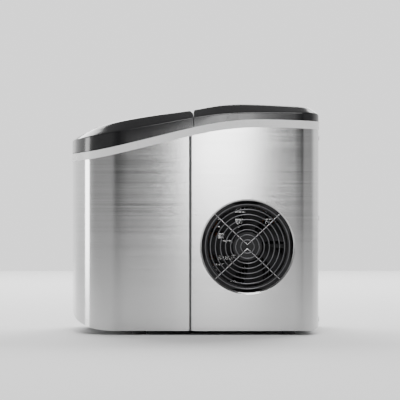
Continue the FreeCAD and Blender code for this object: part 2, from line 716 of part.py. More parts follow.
def inner_liner():
    """White compartment: tank below, ledges for the basket, flange on the deck."""
    top = below_curve(RIM_CURVE, TRIM_BAND_HEIGHT - DECK_DROP + LINER_FLANGE_THICKNESS)
    outer = plan_prism(LINER_INSET, LINER_FLOOR_Z, FAR).common(front_of(LINER_REAR_Y))
    inner = plan_prism(LINER_INNER, LINER_FLOOR_Z + LINER_WALL, FAR).common(
        front_of(LINER_REAR_Y - LINER_WALL))
    flange = rim_layer(LINER_INSET - LINER_FLANGE, TRIM_BAND_HEIGHT - DECK_DROP,
                       TRIM_BAND_HEIGHT - DECK_DROP + LINER_FLANGE_THICKNESS)
    flange = flange.common(front_of(HINGE_Y - HINGE_ARM_RADIUS - 0.6))
    liner = outer.common(top).fuse(flange).cut(inner)
    ledge = plan_prism(LINER_INNER - 0.5, BASKET_BOTTOM_Z - LEDGE_THICKNESS, BASKET_BOTTOM_Z).cut(
        plan_prism(LINER_INNER + LEDGE_DEPTH, 0, FAR))
    liner = liner.fuse(ledge.common(front_of(basket_rear_y())))
    drain = rod(0, FRONT_Y + DRAIN_Y_SETBACK, LINER_FLOOR_Z - 5, DRAIN_RADIUS - DRAIN_WALL, 20)
    sensors = [sensor_body(side, 0.0) for side in (-1, 1)]
    return liner.cut(liner_tube_holes() + [drain] + sensors)


def foam_jacket():
    """Insulation between the liner and the skins."""
    flange_gap = WRAP_INNER + DIVIDER_THICKNESS + FOAM_CLEARANCE
    bottom = BASE_TOP + 2.0
    outer = plan_prism(flange_gap, bottom, FAR).common(front_of(WRAP_SEAM_Y - DIVIDER_THICKNESS))
    hollow = plan_prism(LINER_INSET, LINER_FLOOR_Z, FAR).common(front_of(LINER_REAR_Y))
    top = below_curve(RIM_CURVE, TRIM_BAND_HEIGHT - DECK_DROP - DECK_THICKNESS)
    clear = underside(WRAP_INNER + BASE_WALL + 3.0)
    drain = rod(0, FRONT_Y + DRAIN_Y_SETBACK, 0, DRAIN_RADIUS + 0.5, 100)
    sensors = [sensor_body(side, 0.5) for side in (-1, 1)]
    return outer.common(top).common(clear).cut([hollow, drain] + liner_tube_holes() + sensors)


def basket_rear_y():
    """Rear face of the ice basket, just ahead of the tray's sweep."""
    return TRAY_AXIS_Y - TRAY_RADIUS - BASKET_CLEARANCE


def ice_basket():
    """Perforated lift-out basket with a lip."""
    inset = LINER_INNER + BASKET_CLEARANCE
    top = BASKET_BOTTOM_Z + BASKET_HEIGHT
    rear = basket_rear_y()
    outer = plan_prism(inset + BASKET_LIP, BASKET_BOTTOM_Z, top).common(front_of(rear - BASKET_LIP))
    inner = plan_prism(inset + BASKET_LIP + BASKET_WALL, BASKET_BOTTOM_Z + BASKET_WALL, FAR).common(
        front_of(rear - BASKET_LIP - BASKET_WALL))
    lip = plan_prism(inset, top - 2.0, top).common(front_of(rear))
    basket = outer.fuse(lip).cut(inner)
    slots = []
    slot_pitch = 13.0
    count = int((2 * RAMP_HALF_WIDTH) / slot_pitch)
    first = -slot_pitch * (count - 1) / 2
    for index in range(count):
        x = first + index * slot_pitch
        slots.append(block(x - 3, x + 3, rear - 45, rear - 12, BASKET_BOTTOM_Z - 5, BASKET_BOTTOM_Z + 5))
        slots.append(block(x - 3, x + 3, rear - 10, rear + 5, BASKET_BOTTOM_Z + 14, top - 18))
    return basket.cut(slots)


def evaporator():
    """Cold tube in a U with metal fingers that ice forms on."""
    z = TRAY_AXIS_Z + TUBE_RISE
    front_row = TRAY_AXIS_Y - FINGER_ROW_OFFSET
    rear_row = TRAY_AXIS_Y + FINGER_ROW_OFFSET
    turn_x = -TRAY_HALF_LENGTH + TRAY_WALL + SIDE_CLEARANCE + TUBE_RADIUS
    back = WRAP_SEAM_Y + DIVIDER_FLANGE + 9
    route = [(INLET_X, back, z), (INLET_X, front_row, z), (turn_x, front_row, z),
             (turn_x, rear_row, z), (OUTLET_X, rear_row, z), (OUTLET_X, back, z)]
    pipe = tube_along(route, TUBE_RADIUS, LINE_BEND)
    fingers = []
    for row_y, count in ((front_row, FRONT_FINGERS), (rear_row, FRONT_FINGERS - 1)):
        first = -FINGER_PITCH * (count - 1) / 2
        for index in range(count):
            x = first + index * FINGER_PITCH
            fingers.append(finger(x, row_y, z).cut(pipe))
    return Part.makeCompound([pipe] + fingers)


def finger(x, y, top):
    """One finger, round at its lower end, before its top is shaped to the tube."""
    low = top - FINGER_LENGTH
    shoulder = low + FINGER_RADIUS
    diagonal = FINGER_RADIUS * math.sqrt(0.5)
    tip = Part.Arc(Vec(x + FINGER_RADIUS, y, shoulder), Vec(x + diagonal, y, shoulder - diagonal), Vec(x, y, low))
    outline = [Part.makeLine(Vec(x, y, low), Vec(x, y, top)),
               Part.makeLine(Vec(x, y, top), Vec(x + FINGER_RADIUS, y, top)),
               Part.makeLine(Vec(x + FINGER_RADIUS, y, top), Vec(x + FINGER_RADIUS, y, shoulder)),
               tip.toShape()]
    face = Part.Face(Part.Wire(outline))
    return face.revolve(Vec(x, y, 0), Z_AXIS, 360)


def sector(radius, half_angle, x0, length):
    """Slice of a cylinder along X, open upwards, about the tray's axis."""
    angles = [math.radians(270 - half_angle), math.radians(270), math.radians(270 + half_angle)]
    rim = [Vec(x0, TRAY_AXIS_Y + radius * math.cos(a), TRAY_AXIS_Z + radius * math.sin(a)) for a in angles]
    face = Part.Face(Part.Wire([Part.Arc(*rim).toShape(), Part.makeLine(rim[2], rim[0])]))
    return face.extrude(Vec(length, 0, 0))


def water_tray():
    """Trough that the fingers dip into, turning on a stub at each end."""
    half = TRAY_HALF_LENGTH
    chord = TRAY_RADIUS * math.cos(math.radians(TRAY_HALF_ANGLE))
    inner_radius = TRAY_RADIUS - TRAY_WALL
    inner_angle = math.degrees(math.acos(chord / inner_radius))
    trough = sector(TRAY_RADIUS, TRAY_HALF_ANGLE, -half, 2 * half).cut(
        sector(inner_radius, inner_angle, -half + TRAY_WALL, 2 * (half - TRAY_WALL)))
    parts = [trough]
    for side in (-1, 1):
        x0 = side * half - (TRAY_WALL if side > 0 else 0)
        neck = block(x0, x0 + TRAY_WALL, TRAY_AXIS_Y - TRAY_HUB_RADIUS, TRAY_AXIS_Y + TRAY_HUB_RADIUS,
                     TRAY_AXIS_Z - chord - 2, TRAY_AXIS_Z)
        hub = rod(x0, TRAY_AXIS_Y, TRAY_AXIS_Z, TRAY_HUB_RADIUS, TRAY_WALL, X_AXIS)
        stub_x = half if side > 0 else -half - TRAY_STUB_LENGTH
        stub = rod(stub_x, TRAY_AXIS_Y, TRAY_AXIS_Z, TRAY_STUB_RADIUS, TRAY_STUB_LENGTH, X_AXIS)
        parts += [neck, hub, stub]
    return joined(parts)


def carrier_plate(side):
    """Cantilever on the liner's rear wall that carries one end of the tray."""
    x0 = side * (TRAY_HALF_LENGTH + SIDE_CLEARANCE)
    low_x = min(x0, x0 + side * 3.0)
    plate = block(low_x, low_x + 3.0, TRAY_AXIS_Y - 8, LINER_REAR_Y - LINER_WALL,
                  TRAY_AXIS_Z - 8, TRAY_AXIS_Z + 7)
    flange_x = min(x0, x0 + side * 10.0)
    flange = block(flange_x, flange_x + 10.0, LINER_REAR_Y - LINER_WALL - 2.0, LINER_REAR_Y - LINER_WALL,
                   TRAY_AXIS_Z - 16, TRAY_AXIS_Z + 7)
    bore = rod(low_x - 5, TRAY_AXIS_Y, TRAY_AXIS_Z, TRAY_STUB_RADIUS + TRAY_RUNNING_FIT, 13, X_AXIS)
    return plate.fuse(flange).cut(bore)


def tray_motor():
    """Geared motor box on the left carrier."""
    x1 = -TRAY_HALF_LENGTH - SIDE_CLEARANCE - 3.0
    body = block(x1 - MOTOR_LENGTH, x1, TRAY_AXIS_Y - MOTOR_HALF_SIZE, TRAY_AXIS_Y + MOTOR_HALF_SIZE,
                 TRAY_AXIS_Z - MOTOR_HALF_SIZE, TRAY_AXIS_Z + MOTOR_HALF_SIZE)
    drum = rod(x1 - MOTOR_LENGTH - 8, TRAY_AXIS_Y, TRAY_AXIS_Z, 12.0, 8.0, X_AXIS)
    socket = rod(x1 - 4, TRAY_AXIS_Y, TRAY_AXIS_Z, TRAY_STUB_RADIUS + 0.5, 8, X_AXIS)
    return body.fuse(drum).cut(socket)


def ice_ramp():
    """Slotted shelf under the tray with a guide wall on each side."""
    rear = LINER_REAR_Y - LINER_WALL
    front = basket_rear_y() + BASKET_CLEARANCE / 2
    half = RAMP_HALF_WIDTH
    outline = Part.makePolygon([Vec(-half, rear, RAMP_TOP_Z), Vec(-half, front, RAMP_TOP_Z - RAMP_FALL),
                                Vec(-half, front, RAMP_TOP_Z - RAMP_FALL - RAMP_THICKNESS),
                                Vec(-half, rear, RAMP_TOP_Z - RAMP_THICKNESS), Vec(-half, rear, RAMP_TOP_Z)])
    shelf = Part.Face(outline).extrude(Vec(2 * half, 0, 0))
    slots = []
    pitch = 12.0
    count = int((2 * half - 10) / pitch)
    first = -pitch * (count - 1) / 2
    for index in range(count):
        x = first + index * pitch
        slots.append(block(x - 3.5, x + 3.5, front + 8, rear - 8, RAMP_TOP_Z - 20, RAMP_TOP_Z + 5))
    walls = [block(min(x, x + 2 * s), max(x, x + 2 * s), front, rear, RAMP_TOP_Z - RAMP_FALL - RAMP_THICKNESS,
                   RAMP_TOP_Z + SHOVEL_HEIGHT - 4) for x, s in ((half, 1), (-half, -1))]
    return shelf.cut(slots).fuse(walls)


def ice_shovel():
    """Pusher plate that slides forward over the ramp."""
    rear = LINER_REAR_Y - LINER_WALL - 3.0
    half = RAMP_HALF_WIDTH - SHOVEL_CLEARANCE
    low = RAMP_TOP_Z + SHOVEL_CLEARANCE
    plate = block(-half, half, rear - SHOVEL_THICKNESS, rear, low, low + SHOVEL_HEIGHT)
    teeth = [block(x - 2, x + 2, rear - SHOVEL_THICKNESS - 6, rear - SHOVEL_THICKNESS, low, low + 12)
             for x in range(-60, 61, 12)]
    return plate.fuse(teeth)


def water_pump():
    """Small submersible pump on the tank floor."""
    floor = LINER_FLOOR_Z + LINER_WALL
    body = block(-88, -48, -58, -26, floor, floor + 30)
    head = rod(-68, -42, floor + 30, 12.0, 8.0)
    spout = rod(-80, -22.0, floor + 12, 4.0, 8.0)
    neck = block(-84, -76, -27, -20, floor + 8, floor + 14)
    return joined([body, head, spout, neck])


def water_hose():
    """Hose from the pump up to the tray."""
    floor = LINER_FLOOR_Z + LINER_WALL
    start = floor + 20
    top = TRAY_AXIS_Z + 30
    route = [(-80, -22, start), (-80, -22, top), (-54, -22, top)]
    hose = tube_along(route, 4.0, LINE_BEND)
    bore = tube_along([(-80, -22, start - 1), (-80, -22, top), (-53, -22, top)], 2.6, LINE_BEND)
    return hose.cut(bore)


def sensor_body(side, margin):
    """Housing of one ice-level sensor, through the liner's side wall."""
    y = basket_rear_y() - 14
    z = BASKET_BOTTOM_Z + BASKET_HEIGHT + 12
    inner_x = HALF_WIDTH - LINER_INNER - 1.0
    outer_x = HALF_WIDTH - LINER_INSET + 6.0
    x0, x1 = sorted((side * inner_x, side * (outer_x + margin)))
    return block(x0, x1, y - 6 - margin, y + 6 + margin, z - 8 - margin, z + 8 + margin)


# ---------------------------------------------------------------- machine room

def divider_panel():
    """Steel wall between the cold side and the machine room."""
    top = below_curve(RIM_CURVE, TRIM_BAND_HEIGHT - DECK_DROP - DECK_THICKNESS)
    front = WRAP_SEAM_Y - DIVIDER_THICKNESS
    core = plan_prism(WRAP_INNER, BASE_TOP, FAR).common(below_curve(RIM_CURVE))
    tongue = plan_prism(TRIM_WALL + FOAM_CLEARANCE, BASE_TOP, FAR).common(top)
    sheet = core.fuse(tongue).common(block(-WIDTH, WIDTH, front, WRAP_SEAM_Y, 0, FAR))
    flanges = core.cut(plan_prism(WRAP_INNER + DIVIDER_THICKNESS, 0, FAR)).common(
        block(-WIDTH, WIDTH, front - DIVIDER_FLANGE, WRAP_SEAM_Y + DIVIDER_FLANGE, 0, FAR))
    return sheet.fuse(flanges).cut(liner_tube_holes())


def compressor_place():
    """Centre of the compressor in plan."""
    return COMPRESSOR_X, REAR_Y - COMPRESSOR_SETBACK


def compressor_foot_places():
    """Centres of the compressor's four grommets."""
    x, y = compressor_place()
    reach = COMPRESSOR_RADIUS * 0.88
    return [(x + dx * reach, y + dy * reach) for dx in (-1, 1) for dy in (-1, 1)]


def tray_floor():
    """Inner floor of the base tray."""
    return base_floor_z() + BASE_FLOOR


def compressor():
    """Welded can on a foot plate."""
    x, y = compressor_place()
    plate_z = tray_floor() + GROMMET_HEIGHT
    reach = COMPRESSOR_RADIUS * 0.88 + 7
    plate = block(x - reach, x + reach, y - reach, y + reach, plate_z, plate_z + 2.0)
    for hole_x, hole_y in compressor_foot_places():
        plate = plate.cut(rod(hole_x, hole_y, 0, GROMMET_RADIUS * 0.6, FAR))
    can = rod(x, y, plate_z + 2.0, COMPRESSOR_RADIUS, COMPRESSOR_HEIGHT)
    rims = [edge for edge in can.Edges if edge.isClosed() and edge.Closed]
    can = can.makeFillet(16.0, [edge for edge in rims if edge.Curve.TypeId == "Part::GeomCircle"])
    belt = rod(x, y, plate_z + 2.0 + COMPRESSOR_HEIGHT * 0.55, COMPRESSOR_RADIUS + 1.6, 4.0)
    relay = block(x - COMPRESSOR_RADIUS - 14, x - COMPRESSOR_RADIUS + 6, y - 16, y + 16,
                  plate_z + 50, plate_z + 90)
    return joined([can, belt, relay, plate])


def compressor_grommets():
    """Rubber mounts under the compressor's foot plate."""
    grommets = []
    for x, y in compressor_foot_places():
        pad = rod(x, y, tray_floor(), GROMMET_RADIUS, GROMMET_HEIGHT)
        neck = rod(x, y, tray_floor() + GROMMET_HEIGHT, GROMMET_RADIUS * 0.6, 2.0)
        cap = rod(x, y, tray_floor() + GROMMET_HEIGHT + 2.0, GROMMET_RADIUS * 0.75, 2.0)
        grommets.append(joined([pad, neck, cap]))
    return Part.makeCompound(grommets)


def compressor_top():
    """Top of the compressor can."""
    return tray_floor() + GROMMET_HEIGHT + 2.0 + COMPRESSOR_HEIGHT


def fan_outer_x():
    """Outer face of the fan frame, behind the rolled lip and the guard."""
    return HALF_WIDTH - TRIM_PROUD - VENT_LIP_DEPTH - GUARD_LIP_CLEARANCE - 4 * GUARD_WIRE


def fan_inner_x():
    """Inner face of the fan frame."""
    return fan_outer_x() - FAN_DEPTH


def fan_frame():
    """Square fan body with its hub carried on struts."""
    half = FAN_SIZE / 2
    x0 = fan_inner_x()
    body = block(x0, x0 + FAN_DEPTH, VENT_Y - half, VENT_Y + half, VENT_Z - half, VENT_Z + half)
    corners = [edge for edge in body.Edges if edge.tangentAt(edge.FirstParameter).cross(X_AXIS).Length < 0.01]
    body = body.makeFillet(8.0, corners)
    waist = ring(x0 + 5, VENT_Y, VENT_Z, FAN_SIZE, FAN_BORE + 2.5, FAN_DEPTH - 10, X_AXIS)
    body = body.cut(waist).cut(rod(x0, VENT_Y, VENT_Z, FAN_BORE, FAN_DEPTH, X_AXIS))
    struts = []
    for index in range(3):
        strut = block(x0, x0 + 4, VENT_Y - 3, VENT_Y + 3, VENT_Z + FAN_HUB_RADIUS - 1, VENT_Z + FAN_BORE + 1)
        strut.rotate(Vec(x0, VENT_Y, VENT_Z), X_AXIS, 120 * index + 30)
        struts.append(strut)
    hub = rod(x0, VENT_Y, VENT_Z, FAN_HUB_RADIUS, 4.0, X_AXIS)
    holes = [rod(x0 - 1, y, z, SCREW_SHANK_RADIUS, FAN_DEPTH + 2, X_AXIS) for y, z in guard_screw_places()]
    shaft = rod(x0 - 1, VENT_Y, VENT_Z, 3.0 + HINGE_RUNNING_FIT, 6, X_AXIS)
    return body.fuse(struts + [hub]).cut(holes + [shaft])


def fan_motor():
    """Motor can fixed on the hub plate, inside the rotor's cup."""
    can = rod(fan_inner_x() + 4.0, VENT_Y, VENT_Z, FAN_HUB_RADIUS - 4, 16.0, X_AXIS)
    return can.cut(rod(fan_inner_x(), VENT_Y, VENT_Z, 3.0 + HINGE_RUNNING_FIT, 40.0, X_AXIS))


def fan_rotor():
    """Cup, shaft and twisted blades."""
    x0 = fan_inner_x() + 6.0
    x1 = fan_outer_x() - 5.0
    cup = rod(x0, VENT_Y, VENT_Z, FAN_HUB_RADIUS, x1 - x0, X_AXIS).cut(
        rod(x0 - 1, VENT_Y, VENT_Z, FAN_HUB_RADIUS - 2.5, x1 - x0 - 2, X_AXIS))
    shaft = rod(fan_inner_x() + 0.5, VENT_Y, VENT_Z, 3.0, x1 - fan_inner_x() - 2.0, X_AXIS)
    blades = []
    depth = x1 - x0 - 4
    for index in range(FAN_BLADES):
        blades.append(fan_blade(x0 + 2, depth, 360.0 * index / FAN_BLADES))
    rotor = cup.fuse([shaft] + blades)
    return rotor.common(rod(x0 - 20, VENT_Y, VENT_Z, FAN_BORE - FAN_TIP_CLEARANCE, FAN_DEPTH + 20, X_AXIS))


def fan_blade(x0, depth, angle):
    """One blade as a slanted plate that thins towards its tip."""
    half_thick = 1.0
    root = FAN_HUB_RADIUS - 1.0
    tip = FAN_BORE + 4
    sections = []
    for radius, lean in ((root, 0.55), (tip, 0.85)):
        spread = depth * lean * 0.75
        points = [Vec(x0, VENT_Y - spread, VENT_Z + radius), Vec(x0 + 2 * half_thick, VENT_Y - spread, VENT_Z + radius),
                  Vec(x0 + depth, VENT_Y + spread, VENT_Z + radius),
                  Vec(x0 + depth - 2 * half_thick, VENT_Y + spread, VENT_Z + radius)]
        sections.append(Part.makePolygon(points + points[:1]))
    blade = Part.makeLoft(sections, True, True)
    blade.rotate(Vec(x0, VENT_Y, VENT_Z), X_AXIS, angle)
    return blade


def guard_screw_places():
    """Corners of the fan's screw pattern, as Y and Z."""
    half = FAN_HOLE_PITCH / 2
    return [(VENT_Y + dy * half, VENT_Z + dz * half) for dy in (-1, 1) for dz in (-1, 1)]


def guard_arm(direction):
    """Bent cross wire: from one screw, past the centre, to the next screw."""
    x = fan_outer_x() + GUARD_WIRE
    half = FAN_HOLE_PITCH / 2
    apex = 3.0
    route = [(x, VENT_Y - half, VENT_Z + direction * half), (x, VENT_Y, VENT_Z + direction * apex),
             (x, VENT_Y + half, VENT_Z + direction * half)]
    wire = tube_along(route, GUARD_WIRE, 4.0)
    eyes = [ring(x - GUARD_WIRE, VENT_Y + dy * half, VENT_Z + direction * half, 3.4, SCREW_SHANK_RADIUS,
                 2 * GUARD_WIRE, X_AXIS) for dy in (-1, 1)]
    bores = [rod(x - 5, VENT_Y + dy * half, VENT_Z + direction * half, SCREW_SHANK_RADIUS, 10, X_AXIS)
             for dy in (-1, 1)]
    return wire.cut(bores).fuse(eyes)


def fan_guard():
    """Wire guard: concentric rings welded onto two bent cross wires."""
    x = fan_outer_x() + 2.6 * GUARD_WIRE
    rings = [Part.makeTorus(GUARD_INNER_RING + index * GUARD_RING_PITCH, GUARD_WIRE,
                            Vec(x, VENT_Y, VENT_Z), X_AXIS) for index in range(GUARD_RINGS)]
    arms = [guard_arm(1), guard_arm(-1)]
    return arms[0].fuse([arms[1]] + rings)


def guard_screws():
    """Four screws that hold the guard on the fan frame."""
    screws = []
    x = fan_outer_x() + 2 * GUARD_WIRE
    for y, z in guard_screw_places():
        head = rod(x, y, z, 3.2, 1.2, X_AXIS)
        shank = rod(x - 14, y, z, SCREW_SHANK_RADIUS, 14.5, X_AXIS)
        screws.append(head.fuse(shank))
    return Part.makeCompound(screws)


def fan_shroud():
    """Upright plate between the fan and the condenser, standing on the base tray."""
    half = FAN_SIZE / 2
    x1 = fan_inner_x()
    x0 = x1 - SHROUD_THICKNESS
    plate = block(x0, x1, VENT_Y - half - 4, VENT_Y + half + 4, tray_floor(), VENT_Z + half + 4)
    foot_plate = block(x0 - 14, x1, VENT_Y - half - 4, VENT_Y + half + 4, tray_floor(), tray_floor() + 2)
    bore = rod(x0 - 1, VENT_Y, VENT_Z, FAN_BORE - 1.5, SHROUD_THICKNESS + 2, X_AXIS)
    holes = [rod(x0 - 1, y, z, SCREW_SHANK_RADIUS, 5, X_AXIS) for y, z in guard_screw_places()]
    return plate.fuse(foot_plate).cut([bore] + holes)


def condenser_span():
    """Inner and outer X of the condenser."""
    outer = fan_inner_x() - SHROUD_THICKNESS
    return outer - CONDENSER_DEPTH, outer


def condenser():
    """Fins on serpentine tubes between two end plates."""
    x0, x1 = condenser_span()
    half = FAN_SIZE / 2
    low = VENT_Z - half
    pitch = (FAN_SIZE - 8) / (FIN_COUNT - 1)
    shapes = []
    for index in range(FIN_COUNT):
        y = VENT_Y - half + 4 + index * pitch
        thick = 1.6 if index in (0, FIN_COUNT - 1) else FIN_THICKNESS
        shapes.append(block(x0, x1, y - thick / 2, y + thick / 2, low, low + FAN_SIZE))
    middle = (x0 + x1) / 2
    step = (FAN_SIZE - 30) / (CONDENSER_TUBES - 1)
    for index in range(CONDENSER_TUBES):
        z = low + 15 + index * step
        shapes.append(rod(middle, VENT_Y - half + 2, z, LINE_RADIUS, FAN_SIZE - 4, Y_AXIS))
    return joined(shapes)


def condenser_port(index):
    """Height of one condenser tube."""
    return VENT_Z - FAN_SIZE / 2 + 15 + index * (FAN_SIZE - 30) / (CONDENSER_TUBES - 1)


def line_heights():
    """Heights of the discharge line and of the evaporator lines."""
    return compressor_top() + 70.0, TRAY_AXIS_Z + TUBE_RISE


def valve_place():
    """Centre of the hot gas valve."""
    x, y = compressor_place()
    return Vec(x + 46.0, y + 10.0, line_heights()[0])


def discharge_line():
    """Hot line from the compressor to the valve, and on to the condenser."""
    centre = valve_place()
    x, y = compressor_place()
    condenser_x = sum(condenser_span()) / 2
    rear = VENT_Y + FAN_SIZE / 2 + 10
    first = tube_along([(x - 14, centre.y, compressor_top()), (x - 14, centre.y, centre.z),
                        (centre.x - VALVE_LENGTH / 2, centre.y, centre.z)], LINE_RADIUS, LINE_BEND)
    second = tube_along([(centre.x + VALVE_LENGTH / 2, centre.y, centre.z), (condenser_x, centre.y, centre.z),
                         (condenser_x, rear + 10, centre.z), (condenser_x, rear + 10, condenser_port(-1 + CONDENSER_TUBES)),
                         (condenser_x, VENT_Y + FAN_SIZE / 2 - 2, condenser_port(CONDENSER_TUBES - 1))],
                        LINE_RADIUS, LINE_BEND - 2)
    return Part.makeCompound([first, second])


def hot_gas_valve():
    """Solenoid valve: a brass body in the line with a coil on top."""
    centre = valve_place()
    body = rod(centre.x - VALVE_LENGTH / 2, centre.y, centre.z, 6.0, VALVE_LENGTH, X_AXIS)
    stem = rod(centre.x, centre.y, centre.z, 5.0, 14.0)
    coil = block(centre.x - 11, centre.x + 11, centre.y - 10, centre.y + 10, centre.z + 9, centre.z + 31)
    return joined([body, stem, coil])


def hot_gas_line():
    """Line from the valve to the evaporator's inlet."""
    centre = valve_place()
    z = line_heights()[1]
    back = WRAP_SEAM_Y + DIVIDER_FLANGE + 9
    turn_y = back + 34
    return tube_along([(centre.x, centre.y - 6.0, centre.z), (centre.x, turn_y, centre.z),
                       (INLET_X, turn_y, centre.z), (INLET_X, turn_y, z), (INLET_X, back, z)],
                      LINE_RADIUS, LINE_BEND)


def suction_line():
    """Cold line from the evaporator's outlet back to the compressor."""
    x, y = compressor_place()
    z = line_heights()[1]
    back = WRAP_SEAM_Y + DIVIDER_FLANGE + 9
    return tube_along([(OUTLET_X, back, z), (OUTLET_X, y - 8, z), (x + 12, y - 8, z),
                       (x + 12, y - 8, compressor_top())], SUCTION_RADIUS, LINE_BEND + 3)


def drier_place():
    """Lower end of the filter drier."""
    return Vec(14.0, VENT_Y - FAN_SIZE / 2 + 10, condenser_port(0) + 20)


def filter_drier():
    """Copper drier, upright beside the condenser."""
    low = drier_place()
    return rod(low.x, low.y, low.z, DRIER_RADIUS, DRIER_LENGTH)


def liquid_line():
    """Line from the condenser's lower tube into the drier."""
    low = drier_place()
    condenser_x = sum(condenser_span()) / 2
    port_y = VENT_Y - FAN_SIZE / 2 + 2
    z = condenser_port(0)
    return tube_along([(condenser_x, port_y, z), (condenser_x, port_y - 10, z), (low.x, port_y - 10, z),
                       (low.x, low.y, z), (low.x, low.y, low.z)], LINE_RADIUS, 4.5)


def capillary_line():
    """Thin tube from the drier over to the evaporator's inlet line."""
    low = drier_place()
    z = line_heights()[1]
    top = z + 12.0
    return tube_along([(low.x, low.y, low.z + DRIER_LENGTH), (low.x, low.y, top), (INLET_X, low.y, top),
                       (INLET_X, low.y, z + LINE_RADIUS + 0.1)], CAPILLARY_RADIUS, 5.0)


def board_bracket():
    """Plate on the divider that carries the main board."""
    y0 = WRAP_SEAM_Y
    plate = block(-96, 0, y0 + 6, y0 + 8, 196, 262)
    feet = [block(x - 5, x + 5, y0, y0 + 6, z - 4, z + 4) for x in (-88, -8) for z in (204, 254)]
    return plate.fuse(feet)


def main_board():
    """Control board with its larger components."""
    y0 = WRAP_SEAM_Y + 8
    board = block(-92, -4, y0, y0 + 1.6, 200, 258)
    parts = [block(-88, -62, y0 + 1.6, y0 + 16, 206, 230), block(-56, -40, y0 + 1.6, y0 + 14, 206, 222),
             block(-34, -14, y0 + 1.6, y0 + 10, 206, 218), rod(-70, y0 + 1.0, 244, 6, 14, Y_AXIS),
             rod(-50, y0 + 1.0, 244, 5, 12, Y_AXIS), block(-36, -16, y0 + 1.6, y0 + 6, 236, 250)]
    return joined([board] + parts)


def cord_bushing():
    """Gland in the back that the mains cord passes through."""
    rear = REAR_Y - TRIM_PROUD
    collar = ring(CORD_X, rear, CORD_Z, CORD_GLAND_RADIUS, CORD_BORE_RADIUS, TRIM_PROUD, Y_AXIS)
    neck = ring(CORD_X, rear - 12, CORD_Z, CORD_GLAND_RADIUS - 2, CORD_BORE_RADIUS, 12, Y_AXIS)
    return collar.fuse(neck)


def drain_fitting():
    """Pipe from the tank floor down to the drain cap."""
    y = FRONT_Y + DRAIN_Y_SETBACK
    low = BODY_BOTTOM + SKIN + DRAIN_CAP_DEPTH + 0.5
    return ring(0, y, low, DRAIN_RADIUS, DRAIN_RADIUS - DRAIN_WALL, LINER_FLOOR_Z - low)


def drain_cap():
    """Quarter-turn cap under the drain, flush with the tray."""
    y = FRONT_Y + DRAIN_Y_SETBACK
    low = BODY_BOTTOM + SKIN
    cap = rod(0, y, low, DRAIN_CAP_RADIUS, DRAIN_CAP_DEPTH)
    plug = rod(0, y, low, DRAIN_RADIUS - DRAIN_WALL - DRAIN_FIT, DRAIN_CAP_DEPTH + DRAIN_PLUG_LENGTH)
    grooves = [block(x, x + 6.0, y - 7, y + 7, low - 1, low + 2) for x in (-8.0, 2.0)]
    return cap.fuse(plug).cut(grooves)


def rear_screws():
    """Pan-head screws that hold the back on."""
    rear = REAR_Y - TRIM_PROUD
    screws = []
    for x, z in rear_screw_places():
        head = rod(x, rear, z, SCREW_HEAD_RADIUS, TRIM_PROUD, Y_AXIS)
        shank = rod(x, rear - SCREW_LENGTH, z, SCREW_SHANK_RADIUS, SCREW_LENGTH + 0.5, Y_AXIS)
        screws.append(head.fuse(shank))
    return Part.makeCompound(screws)


# ---------------------------------------------------------------- assembly

def build_nodes():
    """Every piece of the ice maker by its node name."""
    nodes = {"base_tray": base_tray(), "front_wrap": front_wrap(), "rear_wrap": rear_wrap(),
             "trim_frame": trim_frame(), "rear_housing": rear_housing(), "control_panel": control_panel(),
             "indicator_lenses": indicator_lenses(), "display_board": display_board(),
             "lid_frame": lid_frame(), "lid_window": lid_window(), "inner_liner": inner_liner(),
             "foam_jacket": foam_jacket(), "ice_basket": ice_basket(), "evaporator": evaporator(),
             "water_tray": water_tray(), "tray_motor": tray_motor(), "ice_shovel": ice_shovel(),
             "ice_ramp": ice_ramp(), "water_pump": water_pump(), "water_hose": water_hose(),
             "divider_panel": divider_panel(), "compressor": compressor(),
             "compressor_grommets": compressor_grommets(), "condenser": condenser(),
             "fan_shroud": fan_shroud(), "fan_frame": fan_frame(), "fan_motor": fan_motor(),
             "fan_rotor": fan_rotor(), "fan_guard": fan_guard(), "guard_screws": guard_screws(),
             "discharge_line": discharge_line(), "hot_gas_valve": hot_gas_valve(),
             "hot_gas_line": hot_gas_line(), "suction_line": suction_line(), "liquid_line": liquid_line(),
             "filter_drier": filter_drier(), "capillary_line": capillary_line(),
             "board_bracket": board_bracket(), "main_board": main_board(), "cord_bushing": cord_bushing(),
             "drain_fitting": drain_fitting(), "drain_cap": drain_cap(), "rear_screws": rear_screws()}
    for name, x, y in foot_places():
        nodes[name] = foot(x, y)
    for name, centre in button_places():
        nodes[name] = button(centre)
    for word, side in (("left", -1), ("right", 1)):
        nodes["hinge_bracket_" + word] = hinge_bracket(side)
        nodes["hinge_pin_" + word] = hinge_pin(side)
        nodes["tray_carrier_" + word] = carrier_plate(side)
        nodes["ice_sensor_" + word] = sensor_body(side, 0.0)
    return nodes


def main():
    """Build every piece and write one STEP file per node."""
    os.makedirs("parts", exist_ok=True)
    for name, shape in build_nodes().items():
        shape.exportStep("parts/" + name + ".step")
        print(name, len(shape.Solids), round(shape.Volume, 1), shape.isValid())


main()
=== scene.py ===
"""Countertop ice maker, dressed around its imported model.

Each sub-assembly is a class that builds its own meshes in metres, in the model's frame: +Z up, the front
faces -Y, and the fan opening is on the +X side.
"""

import json
import logging
import math
from dataclasses import dataclass, field
from enum import Enum
from typing import Any, Callable, Iterable, Sequence

import bmesh
import bpy
from mathutils import Matrix, Vector


